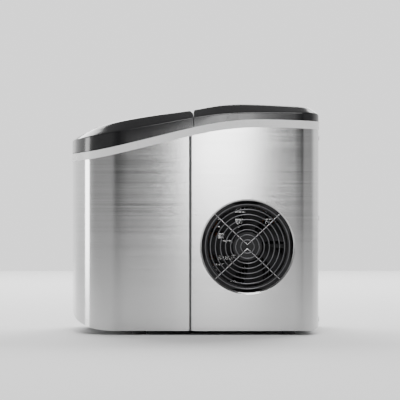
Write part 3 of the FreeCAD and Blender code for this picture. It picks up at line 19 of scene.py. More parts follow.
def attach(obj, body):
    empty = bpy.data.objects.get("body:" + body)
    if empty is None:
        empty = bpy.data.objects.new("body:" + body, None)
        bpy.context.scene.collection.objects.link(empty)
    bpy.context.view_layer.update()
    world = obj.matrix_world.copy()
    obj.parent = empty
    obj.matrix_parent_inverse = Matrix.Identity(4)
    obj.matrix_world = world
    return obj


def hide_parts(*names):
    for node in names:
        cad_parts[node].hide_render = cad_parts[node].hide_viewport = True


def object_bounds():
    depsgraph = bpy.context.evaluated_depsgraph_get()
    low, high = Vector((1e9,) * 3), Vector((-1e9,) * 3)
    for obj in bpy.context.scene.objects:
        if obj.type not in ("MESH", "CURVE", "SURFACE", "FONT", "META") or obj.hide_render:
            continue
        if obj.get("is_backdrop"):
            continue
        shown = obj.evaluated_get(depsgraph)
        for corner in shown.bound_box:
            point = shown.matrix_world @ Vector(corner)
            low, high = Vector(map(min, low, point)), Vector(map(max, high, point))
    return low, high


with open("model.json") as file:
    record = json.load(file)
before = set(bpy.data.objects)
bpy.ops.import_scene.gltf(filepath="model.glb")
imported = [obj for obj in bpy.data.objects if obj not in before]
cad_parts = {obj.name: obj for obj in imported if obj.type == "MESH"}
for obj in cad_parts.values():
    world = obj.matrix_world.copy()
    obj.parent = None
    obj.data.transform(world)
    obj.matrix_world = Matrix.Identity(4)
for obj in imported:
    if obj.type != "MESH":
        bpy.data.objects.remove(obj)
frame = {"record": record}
LOG = logging.getLogger("ice_maker")
MM = 0.001


# ---------------------------------------------------------------- shader expressions

class Sock:
    """A shader socket that can be used in Python arithmetic."""

    def __init__(self, graph: "Graph", socket: bpy.types.NodeSocket) -> None:
        """Keep the socket and the graph that new nodes go into.

        Args:
            graph: material graph that owns the socket.
            socket: the output socket that is wrapped.
        """
        self.graph = graph
        self.socket = socket

    def _math(self, operation: str, *values: Any) -> "Sock":
        """Add a Math node for one operation on this socket and the values."""
        node = self.graph.node("ShaderNodeMath", {"operation": operation}, dict(enumerate(values)))
        return node.out(0)

    def __add__(self, other: Any) -> "Sock":
        """Sum."""
        return self._math("ADD", self, other)

    __radd__ = __add__

    def __sub__(self, other: Any) -> "Sock":
        """Difference."""
        return self._math("SUBTRACT", self, other)

    def __rsub__(self, other: Any) -> "Sock":
        """Reflected difference."""
        return self._math("SUBTRACT", other, self)

    def __mul__(self, other: Any) -> "Sock":
        """Product."""
        return self._math("MULTIPLY", self, other)

    __rmul__ = __mul__

    def clamped(self, low: float = 0.0, high: float = 1.0) -> "Sock":
        """Limit the value to a range.

        Args:
            low: smallest value.
            high: largest value.

        Returns:
            The limited value.
        """
        return self._math("MINIMUM", self._math("MAXIMUM", self, low), high)


class NodeRef:
    """A node that hands out its sockets as expressions."""

    def __init__(self, graph: "Graph", node: bpy.types.Node) -> None:
        """Keep the node and its graph.

        Args:
            graph: material graph that owns the node.
            node: the wrapped node.
        """
        self.graph = graph
        self.node = node

    def out(self, key: Any = 0) -> Sock:
        """Output socket by name or index.

        Args:
            key: the socket's name or index.

        Returns:
            The socket as an expression.
        """
        return Sock(self.graph, self.node.outputs[key])


class Graph:
    """Node graph of one material."""

    def __init__(self, name: str) -> None:
        """Start an empty material.

        Args:
            name: material name.
        """
        self.material = bpy.data.materials.new(name)
        self.material.use_nodes = True
        self.tree = self.material.node_tree
        self.tree.nodes.clear()

    def node(self, kind: str, settings: dict[str, Any], values: dict[Any, Any]) -> NodeRef:
        """Add a node, set it up and feed its sockets.

        Args:
            kind: node type.
            settings: node properties, set first; "stops" holds a ramp's stops.
            values: numbers, colours or expressions by socket name or index.

        Returns:
            The new node.
        """
        node = self.tree.nodes.new(kind)
        for key, value in settings.items():
            if key == "stops":
                self._stops(node.color_ramp, value)
            else:
                setattr(node, key, value)
        for key, value in values.items():
            if isinstance(value, Sock):
                self.tree.links.new(value.socket, node.inputs[key])
            else:
                node.inputs[key].default_value = value
        return NodeRef(self, node)

    @staticmethod
    def _stops(ramp: bpy.types.ColorRamp, stops: Sequence[tuple[float, float]]) -> None:
        """Set a grey ramp's stops."""
        while len(ramp.elements) > len(stops):
            ramp.elements.remove(ramp.elements[-1])
        while len(ramp.elements) < len(stops):
            ramp.elements.new(1.0)
        for element, (place, level) in zip(ramp.elements, stops):
            element.position = place
            element.color = (level, level, level, 1.0)

    def coords(self, scale: Sequence[float], offset: Sequence[float] = (0.0, 0.0, 0.0)) -> Sock:
        """Object coordinates, scaled along each axis.

        Args:
            scale: factor along X, Y and Z.
            offset: shift after scaling.

        Returns:
            The scaled position.
        """
        place = self.node("ShaderNodeTexCoord", {}, {}).out("Object")
        mapped = self.node("ShaderNodeMapping", {}, {"Vector": place, "Scale": scale, "Location": offset})
        return mapped.out(0)

    def noise(self, scale: float, detail: float, stretch: Sequence[float] = (1.0, 1.0, 1.0),
              offset: Sequence[float] = (0.0, 0.0, 0.0)) -> Sock:
        """Smooth noise between 0 and 1 on Object coordinates.

        Args:
            scale: features per metre.
            detail: octaves.
            stretch: factor along each axis.
            offset: shift of the pattern.

        Returns:
            The noise value.
        """
        where = self.coords([scale * s for s in stretch], offset)
        return self.node("ShaderNodeTexNoise", {}, {"Vector": where, "Scale": 1.0, "Detail": detail}).out(0)

    def mix(self, factor: Any, first: Sequence[float], second: Sequence[float]) -> Sock:
        """Blend two colours.

        Args:
            factor: share of the second colour.
            first: colour at 0.
            second: colour at 1.

        Returns:
            The blended colour.
        """
        node = self.node("ShaderNodeMix", {"data_type": "RGBA"}, {0: factor, 6: first, 7: second})
        return node.out(2)

    def bump(self, height: Sock, distance: float, strength: float = 1.0) -> Sock:
        """Bumped normal.

        Args:
            height: height value.
            distance: depth of the relief in metres.
            strength: share of the effect.

        Returns:
            The normal.
        """
        return self.node("ShaderNodeBump", {}, {"Height": height, "Distance": distance,
                                                 "Strength": strength}).out(0)

    def surface(self, values: dict[str, Any]) -> bpy.types.Material:
        """End the graph in a Principled shader.

        Args:
            values: sockets of the shader.

        Returns:
            The finished material.
        """
        shader = self.node("ShaderNodeBsdfPrincipled", {}, values)
        self.node("ShaderNodeOutputMaterial", {}, {"Surface": shader.out(0)})
        return self.material


def grey(level: float) -> tuple[float, float, float, float]:
    """Neutral colour of one brightness."""
    return (level, level, level, 1.0)


# ---------------------------------------------------------------- finishes

@dataclass(frozen=True)
class BrushedSteel:
    """Stainless sheet brushed along its length."""

    name: str = "brushed_steel"
    tone: float = 0.56
    roughness: float = 0.15
    anisotropy: float = 0.85
    grain_turn: float = 0.25
    line_depth: float = 0.000008

    def build(self) -> bpy.types.Material:
        """Make the material.

        Returns:
            Steel with fine level brush lines and faint blotches.
        """
        g = Graph(self.name)
        fine = g.noise(1.0, 2.0, (4.0, 4.0, 1700.0))
        broad = g.noise(1.0, 2.0, (1.6, 1.6, 420.0), (0.4, 1.3, 2.2))
        cloud = g.noise(7.0, 3.0)
        lines = fine * 0.65 + broad * 0.35
        tint = (lines - 0.5) * 1.1 + (cloud - 0.5) * 0.03
        colour = g.mix((tint + 0.5).clamped(), grey(self.tone * 0.86), grey(min(self.tone * 1.14, 1.0)))
        rough = (lines - 0.5) * 0.16 + (cloud - 0.5) * 0.04 + self.roughness
        return g.surface({"Base Color": colour, "Metallic": 1.0, "Roughness": rough.clamped(0.08, 0.7),
                          "Anisotropic": self.anisotropy, "Anisotropic Rotation": self.grain_turn,
                          "Normal": g.bump(lines, self.line_depth, 0.6)})


@dataclass(frozen=True)
class GlossPlastic:
    """Moulded plastic with a polished skin."""

    name: str
    colour: tuple[float, float, float, float]
    roughness: float = 0.08
    coat: float = 0.5
    ripple: float = 0.00002

    def build(self) -> bpy.types.Material:
        """Make the material.

        Returns:
            Glossy plastic with faint flow ripple, dust haze and fine scuffs.
        """
        g = Graph(self.name)
        haze = g.noise(18.0, 4.0)
        scuff = g.noise(1.0, 2.0, (900.0, 60.0, 900.0))
        wave = g.noise(26.0, 1.0)
        rough = (haze - 0.45).clamped() * 0.16 + (scuff - 0.62).clamped() * 0.5 + self.roughness
        light = tuple(min(c * 1.25 + 0.004, 1.0) for c in self.colour[:3]) + (1.0,)
        return g.surface({"Base Color": g.mix(haze, self.colour, light),
                          "Roughness": rough.clamped(0.02, 0.8),
                          "Coat Weight": self.coat, "Coat Roughness": 0.04,
                          "Normal": g.bump(wave, self.ripple, 0.5)})


@dataclass(frozen=True)
class SatinPlastic:
    """Moulded plastic with a fine spark-eroded texture."""

    name: str
    colour: tuple[float, float, float, float]
    roughness: float = 0.42
    grain: float = 0.00004
    grain_scale: float = 1800.0
    glow: float = 0.0

    def build(self) -> bpy.types.Material:
        """Make the material.

        Returns:
            Satin plastic with grain, soft stains and worn spots.
        """
        g = Graph(self.name)
        grain = g.noise(self.grain_scale, 2.0)
        stain = g.noise(14.0, 5.0)
        worn = g.noise(60.0, 3.0, (1.0, 1.0, 1.0), (3.1, 0.2, 1.7))
        dark = tuple(c * 0.93 for c in self.colour[:3]) + (1.0,)
        rough = (stain - 0.5) * 0.14 - (worn - 0.6).clamped() * 0.4 + self.roughness
        values = {"Base Color": g.mix(stain, dark, self.colour), "Roughness": rough.clamped(0.1, 0.95),
                  "Normal": g.bump(grain, self.grain, 0.7)}
        if self.glow > 0.0:
            values["Emission Color"] = self.colour
            values["Emission Strength"] = self.glow
        return g.surface(values)


@dataclass(frozen=True)
class BareMetal:
    """Plated or bare metal of wires, tubes, sheets and screws."""

    name: str
    colour: tuple[float, float, float, float]
    tarnish: tuple[float, float, float, float]
    roughness: float = 0.22
    streak: tuple[float, float, float] = (1.0, 1.0, 1.0)

    def build(self) -> bpy.types.Material:
        """Make the material.

        Returns:
            Metal with draw marks and patches of tarnish.
        """
        g = Graph(self.name)
        patch = g.noise(45.0, 5.0)
        marks = g.noise(1500.0, 2.0, self.streak)
        stained = (patch - 0.52).clamped() * 2.2
        rough = marks * 0.14 + stained * 0.3 + (self.roughness - 0.07)
        return g.surface({"Base Color": g.mix(stained.clamped(), self.colour, self.tarnish), "Metallic": 1.0,
                          "Roughness": rough.clamped(0.05, 0.9), "Normal": g.bump(marks, 0.00001, 0.5)})


@dataclass(frozen=True)
class Rubber:
    """Matte rubber with a chalky bloom."""

    name: str = "foot_rubber"
    tone: float = 0.07

    def build(self) -> bpy.types.Material:
        """Make the material.

        Returns:
            Rubber with fine pores and pale bloom.
        """
        g = Graph(self.name)
        pores = g.noise(2600.0, 2.0)
        bloom = g.noise(70.0, 4.0)
        colour = g.mix(bloom, grey(self.tone), grey(self.tone * 1.8))
        return g.surface({"Base Color": colour, "Roughness": (bloom * 0.2 + 0.68).clamped(),
                          "Normal": g.bump(pores, 0.00006, 0.8)})


@dataclass(frozen=True)
class SmokedSheet:
    """Tinted clear plastic."""

    name: str
    tint: tuple[float, float, float, float]
    alpha: float
    roughness: float = 0.05

    def build(self) -> bpy.types.Material:
        """Make the material.

        Returns:
            See-through sheet with light haze and fine scratches.
        """
        g = Graph(self.name)
        haze = g.noise(12.0, 4.0)
        scratch = g.noise(1.0, 2.0, (1400.0, 40.0, 1400.0))
        rough = (haze - 0.45).clamped() * 0.12 + (scratch - 0.64).clamped() * 0.5 + self.roughness
        return g.surface({"Base Color": self.tint, "Roughness": rough.clamped(0.02, 0.6),
                          "Alpha": (haze * 0.06 + self.alpha).clamped(), "IOR": 1.49,
                          "Coat Weight": 0.4, "Coat Roughness": 0.03})


class Finish(Enum):
    """Every finish on the machine."""

    STEEL = BrushedSteel()
    TRIM_WHITE = SatinPlastic("trim_white", (0.93, 0.93, 0.93, 1.0), 0.3, 0.00001, 900.0)
    TOP_BLACK = GlossPlastic("top_black", (0.012, 0.012, 0.013, 1.0), 0.14, 0.2)
    PANEL_BLACK = GlossPlastic("panel_black", (0.02, 0.02, 0.022, 1.0), 0.16, 0.3)
    BUTTON_GREY = SatinPlastic("button_grey", (0.16, 0.16, 0.165, 1.0), 0.34, 0.00002)
    SYMBOL_WHITE = SatinPlastic("symbol_white", (0.75, 0.75, 0.75, 1.0), 0.4, 0.00001)
    LENS = SatinPlastic("lens_green", (0.32, 0.75, 0.5, 1.0), 0.2, 0.00001, 900.0, 0.6)
    CASE_BLACK = SatinPlastic("case_black", (0.022, 0.022, 0.024, 1.0), 0.45, 0.00005)
    FAN_BLACK = SatinPlastic("fan_black", (0.03, 0.03, 0.032, 1.0), 0.6, 0.00003)
    LINER_WHITE = SatinPlastic("liner_white", (0.8, 0.82, 0.84, 1.0), 0.28, 0.00001, 900.0)
    TRAY_WHITE = SatinPlastic("tray_white", (0.72, 0.75, 0.78, 1.0), 0.34, 0.00002)
    FOAM = SatinPlastic("foam_cream", (0.72, 0.66, 0.5, 1.0), 0.85, 0.0002, 500.0)
    BOARD_GREEN = SatinPlastic("board_green", (0.02, 0.14, 0.05, 1.0), 0.35, 0.00002)
    HOSE = SatinPlastic("hose_silicone", (0.68, 0.68, 0.66, 1.0), 0.4, 0.00001)
    BASKET = SmokedSheet("basket_frosted", (0.8, 0.86, 0.9, 1.0), 0.72, 0.3)
    WINDOW = SmokedSheet("window_smoked", (0.012, 0.012, 0.014, 1.0), 0.9)
    CHROME = BareMetal("wire_plated", (0.62, 0.62, 0.63, 1.0), (0.4, 0.39, 0.38, 1.0), 0.2)
    # Guard rings: a darker copy of the plated wire, painted shade; the arms keep the wire's own colour.
    RING = BareMetal("ring_wire_painted_shade", (0.2, 0.2, 0.21, 1.0), (0.12, 0.12, 0.12, 1.0), 0.3)
    SCREW = BareMetal("screw_plated", (0.52, 0.52, 0.53, 1.0), (0.3, 0.29, 0.28, 1.0), 0.3)
    NICKEL = BareMetal("tube_nickel", (0.68, 0.66, 0.62, 1.0), (0.5, 0.47, 0.42, 1.0), 0.18)
    COPPER = BareMetal("tube_copper", (0.5, 0.24, 0.14, 1.0), (0.22, 0.11, 0.07, 1.0), 0.42)
    BRASS = BareMetal("valve_brass", (0.7, 0.52, 0.24, 1.0), (0.4, 0.3, 0.15, 1.0), 0.3)
    ZINC = BareMetal("sheet_zinc", (0.55, 0.56, 0.58, 1.0), (0.4, 0.41, 0.43, 1.0), 0.4, (0.1, 1.0, 1.0))
    # Aluminium condenser fins coloured near black: painted shade for the dark inside behind the fan.
    FINS = SatinPlastic("fin_painted_shade", (0.03, 0.03, 0.032, 1.0), 0.6, 0.00003)
    ENAMEL = GlossPlastic("compressor_enamel", (0.015, 0.015, 0.016, 1.0), 0.25, 0.2, 0.00008)
    RUBBER = Rubber()


class Paint:
    """Makes each finish once."""

    made: dict[Finish, bpy.types.Material] = {}

    @classmethod
    def of(cls, finish: Finish) -> bpy.types.Material:
        """Material of a finish.

        Args:
            finish: the finish wanted.

        Returns:
            The material, made at its first use.
        """
        if finish not in cls.made:
            cls.made[finish] = finish.value.build()
        return cls.made[finish]


# ---------------------------------------------------------------- curves and outlines

@dataclass(frozen=True)
class Smooth:
    """Smooth curve z(y) through a few points, straight on past its ends."""

    points: tuple[tuple[float, float], ...]
    bends: tuple[float, ...] = field(default=(), init=False)

    def __post_init__(self) -> None:
        """Work out the second derivative at each point."""
        ys = [p[0] for p in self.points]
        zs = [p[1] for p in self.points]
        count = len(ys)
        upper = [0.0] * count
        right = [0.0] * count
        for i in range(1, count - 1):
            left_run = ys[i] - ys[i - 1]
            right_run = ys[i + 1] - ys[i]
            slope_change = (zs[i + 1] - zs[i]) / right_run - (zs[i] - zs[i - 1]) / left_run
            pivot = 2 * (left_run + right_run) - left_run * upper[i - 1]
            upper[i] = right_run / pivot
            right[i] = (6 * slope_change - left_run * right[i - 1]) / pivot
        bends = [0.0] * count
        for i in range(count - 2, 0, -1):
            bends[i] = right[i] - upper[i] * bends[i + 1]
        object.__setattr__(self, "bends", tuple(bends))

    def at(self, y: float) -> float:
        """Height of the curve.

        Args:
            y: place along the depth.

        Returns:
            The height there.
        """
        pts = self.points
        y = min(max(y, pts[0][0]), pts[-1][0])
        i = 0
        while i < len(pts) - 2 and y > pts[i + 1][0]:
            i += 1
        run = pts[i + 1][0] - pts[i][0]
        a = (pts[i + 1][0] - y) / run
        b = 1.0 - a
        bow = ((a ** 3 - a) * self.bends[i] + (b ** 3 - b) * self.bends[i + 1]) * run * run / 6
        return a * pts[i][1] + b * pts[i + 1][1] + bow


@dataclass(frozen=True)
class Body:
    """Overall sizes of the machine and the curves that its skins share, in metres."""

    low: tuple[float, float, float]
    high: tuple[float, float, float]
    bow_radius: float = 0.300
    corner_radius: float = 0.072
    rear_radius: float = 0.028
    rim_drops: tuple[tuple[float, float], ...] = ((0.0, 80.2), (0.08, 78.2), (0.22, 68.5), (0.39, 53.6),
                                                  (0.556, 40.1), (0.695, 33.8), (0.835, 33.4), (1.0, 35.8))
    shoulder_drops: tuple[tuple[float, float], ...] = ((0.0, 50.5), (0.1, 44.8), (0.24, 36.4), (0.41, 25.4),
                                                       (0.606, 14.4), (0.754, 12.2), (1.0, 13.4))
    crown_drops: tuple[tuple[float, float], ...] = ((0.0, 50.0), (0.042, 43.7), (0.115, 32.7), (0.215, 23.2),
                                                    (0.36, 14.4), (0.508, 6.9), (0.60, 1.4), (0.71, 0.0),
                                                    (0.85, 1.8), (1.0, 4.6))

    def curve(self, drops: Sequence[tuple[float, float]]) -> Smooth:
        """Side-view curve from shares of the depth and drops in millimetres below the top.

        Args:
            drops: share of the depth from the front, and drop.

        Returns:
            The curve in metres.
        """
        depth = self.high[1] - self.low[1]
        return Smooth(tuple((self.low[1] + s * depth, self.high[2] - d * MM) for s, d in drops))

    def outline(self, inset: float, y_min: float = -9.0, y_max: float = 9.0, step: float = 0.004
                ) -> list[tuple[float, float, float, float]]:
        """Footprint points from the left rear round the front to the right rear, with their normals.

        Args:
            inset: distance inside the outermost outline.
            y_min: front limit, for a piece that starts behind the front.
            y_max: rear limit.
            step: spacing along curves.

        Returns:
            Points as x, y and the outward normal's x, y, counter-clockwise from above.
        """
        points = self._right_half(inset, step)
        whole = [(-x, y, -nx, ny) for x, y, nx, ny in reversed(points)] + points[1:]
        return [p for p in whole if y_min - 1e-9 <= p[1] <= y_max + 1e-9]

    def half_width(self, y: float, inset: float) -> float:
        """Half the width of the outline at one depth.

        Args:
            y: depth.
            inset: distance inside the outermost outline.

        Returns:
            Distance from the middle plane to the outline.
        """
        bow_y = self.low[1] + self.bow_radius
        cx = self.high[0] - self.corner_radius
        cy = bow_y - math.sqrt((self.bow_radius - self.corner_radius) ** 2 - cx ** 2)
        join = math.atan2(cy - bow_y, cx)
        bow, corner = self.bow_radius - inset, self.corner_radius - inset
        if y < bow_y + bow * math.sin(join):
            return math.sqrt(max(0.0, bow ** 2 - (bow_y - y) ** 2))
        if y < cy:
            return cx + math.sqrt(max(0.0, corner ** 2 - (cy - y) ** 2))
        rear_y = self.high[1] - self.rear_radius
        if y <= rear_y:
            return self.high[0] - inset
        rear = self.rear_radius - inset
        return self.high[0] - self.rear_radius + math.sqrt(max(0.0, rear ** 2 - (y - rear_y) ** 2))

    def _right_half(self, inset: float, step: float) -> list[tuple[float, float, float, float]]:
        """Outline from the front's middle to the rear's middle, on the +X side."""
        half = self.high[0]
        bow_y = self.low[1] + self.bow_radius
        cx = half - self.corner_radius
        cy = bow_y - math.sqrt((self.bow_radius - self.corner_radius) ** 2 - cx ** 2)
        join = math.atan2(cy - bow_y, cx)
        rows = []
        rows += arc_points(0.0, bow_y, self.bow_radius - inset, -math.pi / 2, join, step)
        rows += arc_points(cx, cy, self.corner_radius - inset, join, 0.0, step)[1:]
        rear_y = self.high[1] - self.rear_radius
        rows += line_points((half - inset, cy), (half - inset, rear_y), (1.0, 0.0), step * 2)[1:]
        rx = half - self.rear_radius
        rows += arc_points(rx, rear_y, max(self.rear_radius - inset, 0.001), 0.0, math.pi / 2, step / 2)[1:]
        rows += line_points((rx, self.high[1] - inset), (0.0, self.high[1] - inset), (0.0, 1.0), step * 2)[1:]
        return rows


def arc_points(cx: float, cy: float, radius: float, start: float, end: float, step: float
               ) -> list[tuple[float, float, float, float]]:
    """Points on an arc with outward normals.

    Args:
        cx: centre X.
        cy: centre Y.
        radius: arc radius.
        start: first angle.
        end: last angle.
        step: largest spacing.

    Returns:
        Points as x, y, normal x, normal y.
    """
    count = max(6, int(abs(end - start) * radius / step) + 1)
    angles = [start + (end - start) * i / count for i in range(count + 1)]
    return [(cx + radius * math.cos(a), cy + radius * math.sin(a), math.cos(a), math.sin(a)) for a in angles]


def line_points(first: tuple[float, float], last: tuple[float, float], normal: tuple[float, float],
                step: float) -> list[tuple[float, float, float, float]]:
    """Points on a straight run with one normal.

    Args:
        first: start.
        last: end.
        normal: outward normal.
        step: largest spacing.

    Returns:
        Points as x, y, normal x, normal y.
    """
    length = math.hypot(last[0] - first[0], last[1] - first[1])
    count = max(1, int(length / step))
    return [(first[0] + (last[0] - first[0]) * i / count, first[1] + (last[1] - first[1]) * i / count,
             normal[0], normal[1]) for i in range(count + 1)]


# ---------------------------------------------------------------- mesh helpers

Point = tuple[float, float, float]


class Shell:
    """Collects quads and polygons, and turns them into one piece."""

    def __init__(self, name: str) -> None:
        """Start an empty piece.

        Args:
            name: piece name.
        """
        self.name = name
        self.bm = bmesh.new()

    def strip(self, rows: Sequence[Sequence[Point]], closed: bool = False) -> None:
        """Add a sheet of quads between rows of points.

        Args:
            rows: rows with the same number of points.
            closed: join the last row to the first.
        """
        made = [[self.bm.verts.new(p) for p in row] for row in rows]
        pairs = list(zip(made, made[1:])) + ([(made[-1], made[0])] if closed else [])
        for one, two in pairs:
            for i in range(len(one) - 1):
                self.bm.faces.new((one[i], one[i + 1], two[i + 1], two[i]))

    def tube(self, rings: Sequence[Sequence[Point]], caps: bool = True) -> None:
        """Add a closed sleeve through rings of points.

        Args:
            rings: rings with the same number of points.
            caps: close both ends.
        """
        made = [[self.bm.verts.new(p) for p in ring] for ring in rings]
        count = len(made[0])
        for one, two in zip(made, made[1:]):
            for i in range(count):
                j = (i + 1) % count
                self.bm.faces.new((one[i], one[j], two[j], two[i]))
        if caps:
            self.bm.faces.new(list(reversed(made[0])))
            self.bm.faces.new(made[-1])

    def loop(self, rings: Sequence[Sequence[Point]]) -> None:
        """Add a doughnut: rings of points joined end to end.

        Args:
            rings: rings with the same number of points.
        """
        self.tube(list(rings) + [rings[0]], caps=False)

    def box(self, low: Point, high: Point, bevel: float = 0.0) -> None:
        """Add a box with broken edges.

        Args:
            low: lowest corner.
            high: highest corner.
            bevel: width of the broken edges.
        """
        size = [h - l for l, h in zip(low, high)]
        middle = [(h + l) / 2 for l, h in zip(low, high)]
        where = Matrix.Translation(middle) @ Matrix.Diagonal(size + [1.0])
        made = bmesh.ops.create_cube(self.bm, size=1.0, matrix=where)
        if bevel > 0.0:
            edges = list({e for v in made["verts"] for e in v.link_edges})
            bmesh.ops.bevel(self.bm, geom=edges, offset=bevel, segments=3, profile=0.5, affect="EDGES")

    def lathe(self, profile: Sequence[tuple[float, float]], centre: Point, axis: Vector, count: int = 48) -> None:
        """Add a turned shape whose profile ends on its axis.

        Args:
            profile: radius and height pairs from one end to the other.
            centre: base of the axis.
            axis: direction of the axis.
            count: faces round it.
        """
        turn = axis.to_track_quat("Z", "Y").to_matrix()
        base = Vector(centre)
        rings = []
        for radius, height in profile:
            ring = []
            for i in range(count):
                a = 2 * math.pi * i / count
                ring.append(tuple(base + turn @ Vector((radius * math.cos(a), radius * math.sin(a), height))))
            rings.append(ring)
        self.tube(rings)

    def finish(self, finish: Finish, angle: float = 35.0, normals: bool = True) -> bpy.types.Object:
        """Turn the collected faces into an object.

        Args:
            finish: surface finish.
            angle: edges sharper than this stay hard.
            normals: make every face point outwards.

        Returns:
            The piece.
        """
        bmesh.ops.remove_doubles(self.bm, verts=self.bm.verts, dist=0.000002)
        if normals:
            bmesh.ops.recalc_face_normals(self.bm, faces=self.bm.faces)
        mesh = bpy.data.meshes.new(self.name)
        self.bm.to_mesh(mesh)
        self.bm.free()
        return wrap_mesh(mesh, self.name, finish, angle)


def wrap_mesh(mesh: bpy.types.Mesh, name: str, finish: Finish, angle: float = 35.0) -> bpy.types.Object:
    """Make a smooth-shaded object of a mesh.

    Args:
        mesh: the mesh.
        name: object name.
        finish: surface finish.
        angle: edges sharper than this stay hard.

    Returns:
        The object, linked to the scene.
    """
    mesh.materials.clear()
    mesh.materials.append(Paint.of(finish))
    mesh.polygons.foreach_set("use_smooth", [True] * len(mesh.polygons))
    mesh.set_sharp_from_angle(angle=math.radians(angle))
    piece = bpy.data.objects.new(name, mesh)
    bpy.context.scene.collection.objects.link(piece)
    return piece


def baked(piece: bpy.types.Object, name: str, finish: Finish, angle: float = 35.0) -> bpy.types.Object:
    """Replace a piece with the plain mesh that its modifiers make.

    Args:
        piece: object with modifiers.
        name: name of the result.
        finish: surface finish.
        angle: edges sharper than this stay hard.

    Returns:
        The plain piece.
    """
    graph = bpy.context.evaluated_depsgraph_get()
    mesh = bpy.data.meshes.new_from_object(piece.evaluated_get(graph))
    bpy.data.objects.remove(piece)
    mesh.name = name
    return wrap_mesh(mesh, name, finish, angle)


def carved(piece: bpy.types.Object, cutters: Iterable[bpy.types.Object], finish: Finish) -> bpy.types.Object:
    """Cut shapes out of a piece.

    Args:
        piece: the piece to cut.
        cutters: closed shapes, removed afterwards.
        finish: surface finish.

    Returns:
        The cut piece.
    """
    tools = list(cutters)
    for tool in tools:
        cut = piece.modifiers.new("cut", "BOOLEAN")
        cut.operation = "DIFFERENCE"
        cut.solver = "EXACT"
        cut.object = tool
    name = piece.name
    piece.name = name + "_raw"
    result = baked(piece, name, finish)
    for tool in tools:
        bpy.data.objects.remove(tool)
    return result


class Repeat:
    """Geometry node trees that lay out what repeats."""

    def __init__(self, name: str, finish: Finish, inputs: Sequence[tuple[str, str, Any]]) -> None:
        """Start a tree with named inputs.

        Args:
            name: tree name.
            finish: finish of the result.
            inputs: name, socket type and value of each size.
        """
        self.tree = bpy.data.node_groups.new(name, "GeometryNodeTree")
        self.finish = finish
        self.values = {}
        face = self.tree.interface
        face.new_socket("Geometry", in_out="INPUT", socket_type="NodeSocketGeometry")
        for label, kind, value in inputs:
            item = face.new_socket(label, in_out="INPUT", socket_type=kind)
            self.values[item.identifier] = value
        face.new_socket("Geometry", in_out="OUTPUT", socket_type="NodeSocketGeometry")
        self.source = self.tree.nodes.new("NodeGroupInput")

    def node(self, kind: str, settings: dict[str, Any], values: dict[Any, Any]) -> bpy.types.Node:
        """Add a node, set it up and feed its sockets.

        Args:
            kind: node type.
            settings: node properties.
            values: numbers or sockets by input name or index.

        Returns:
            The node.
        """
        node = self.tree.nodes.new(kind)
        for key, value in settings.items():
            setattr(node, key, value)
        for key, value in values.items():
            if isinstance(value, bpy.types.NodeSocket):
                self.tree.links.new(value, node.inputs[key])
            else:
                node.inputs[key].default_value = value
        return node

    def close(self, geometry: bpy.types.NodeSocket) -> None:
        """Realize, set the material and end the tree.

        Args:
            geometry: socket with the laid-out shapes.
        """
        real = self.node("GeometryNodeRealizeInstances", {}, {0: geometry})
        paint = self.node("GeometryNodeSetMaterial", {}, {"Geometry": real.outputs[0],
                                                          "Material": Paint.of(self.finish)})
        end = self.tree.nodes.new("NodeGroupOutput")
        self.tree.links.new(paint.outputs[0], end.inputs[0])

    def apply(self, piece: bpy.types.Object, name: str, angle: float = 35.0) -> bpy.types.Object:
        """Run the tree on a piece and keep the result as a plain mesh.

        Args:
            piece: the shape that is repeated, or an empty piece.
            name: name of the result.
            angle: edges sharper than this stay hard.

        Returns:
            The plain piece.
        """
        modifier = piece.modifiers.new("repeat", "NODES")
        modifier.node_group = self.tree
        for identifier, value in self.values.items():
            modifier[identifier] = value
        return baked(piece, name, self.finish, angle)


def laid_out(piece: bpy.types.Object, name: str, finish: Finish, count: int, step: Sequence[float] = (0, 0, 0),
             turn: Sequence[float] = (0, 0, 0), centre: Sequence[float] = (0, 0, 0), angle: float = 35.0
             ) -> bpy.types.Object:
    """Repeat a shape along a line, round a centre, or both.

    Args:
        piece: shape modelled relative to the centre.
        name: name of the result.
        finish: surface finish.
        count: number of copies.
        step: shift from one copy to the next.
        turn: Euler turn from one copy to the next.
        centre: place of the first copy's centre.
        angle: edges sharper than this stay hard.

    Returns:
        The plain piece.
    """
    job = Repeat(name + "_layout", finish, (("Count", "NodeSocketInt", count),
                                            ("Step", "NodeSocketVector", step),
                                            ("Turn", "NodeSocketVector", turn),
                                            ("Centre", "NodeSocketVector", centre)))
    sizes = job.source.outputs
    index = job.node("GeometryNodeInputIndex", {}, {}).outputs[0]
    along = job.node("ShaderNodeVectorMath", {"operation": "SCALE"}, {0: sizes["Step"], "Scale": index})
    place = job.node("ShaderNodeVectorMath", {"operation": "ADD"}, {0: along.outputs[0], 1: sizes["Centre"]})
    spin = job.node("ShaderNodeVectorMath", {"operation": "SCALE"}, {0: sizes["Turn"], "Scale": index})
    euler = job.node("FunctionNodeEulerToRotation", {}, {0: spin.outputs[0]})
    spots = job.node("GeometryNodePoints", {}, {"Count": sizes["Count"], "Position": place.outputs[0]})
    copies = job.node("GeometryNodeInstanceOnPoints", {}, {"Points": spots.outputs[0],
                                                           "Instance": sizes["Geometry"],
                                                           "Rotation": euler.outputs[0]})
    job.close(copies.outputs[0])
    return job.apply(piece, name, angle)


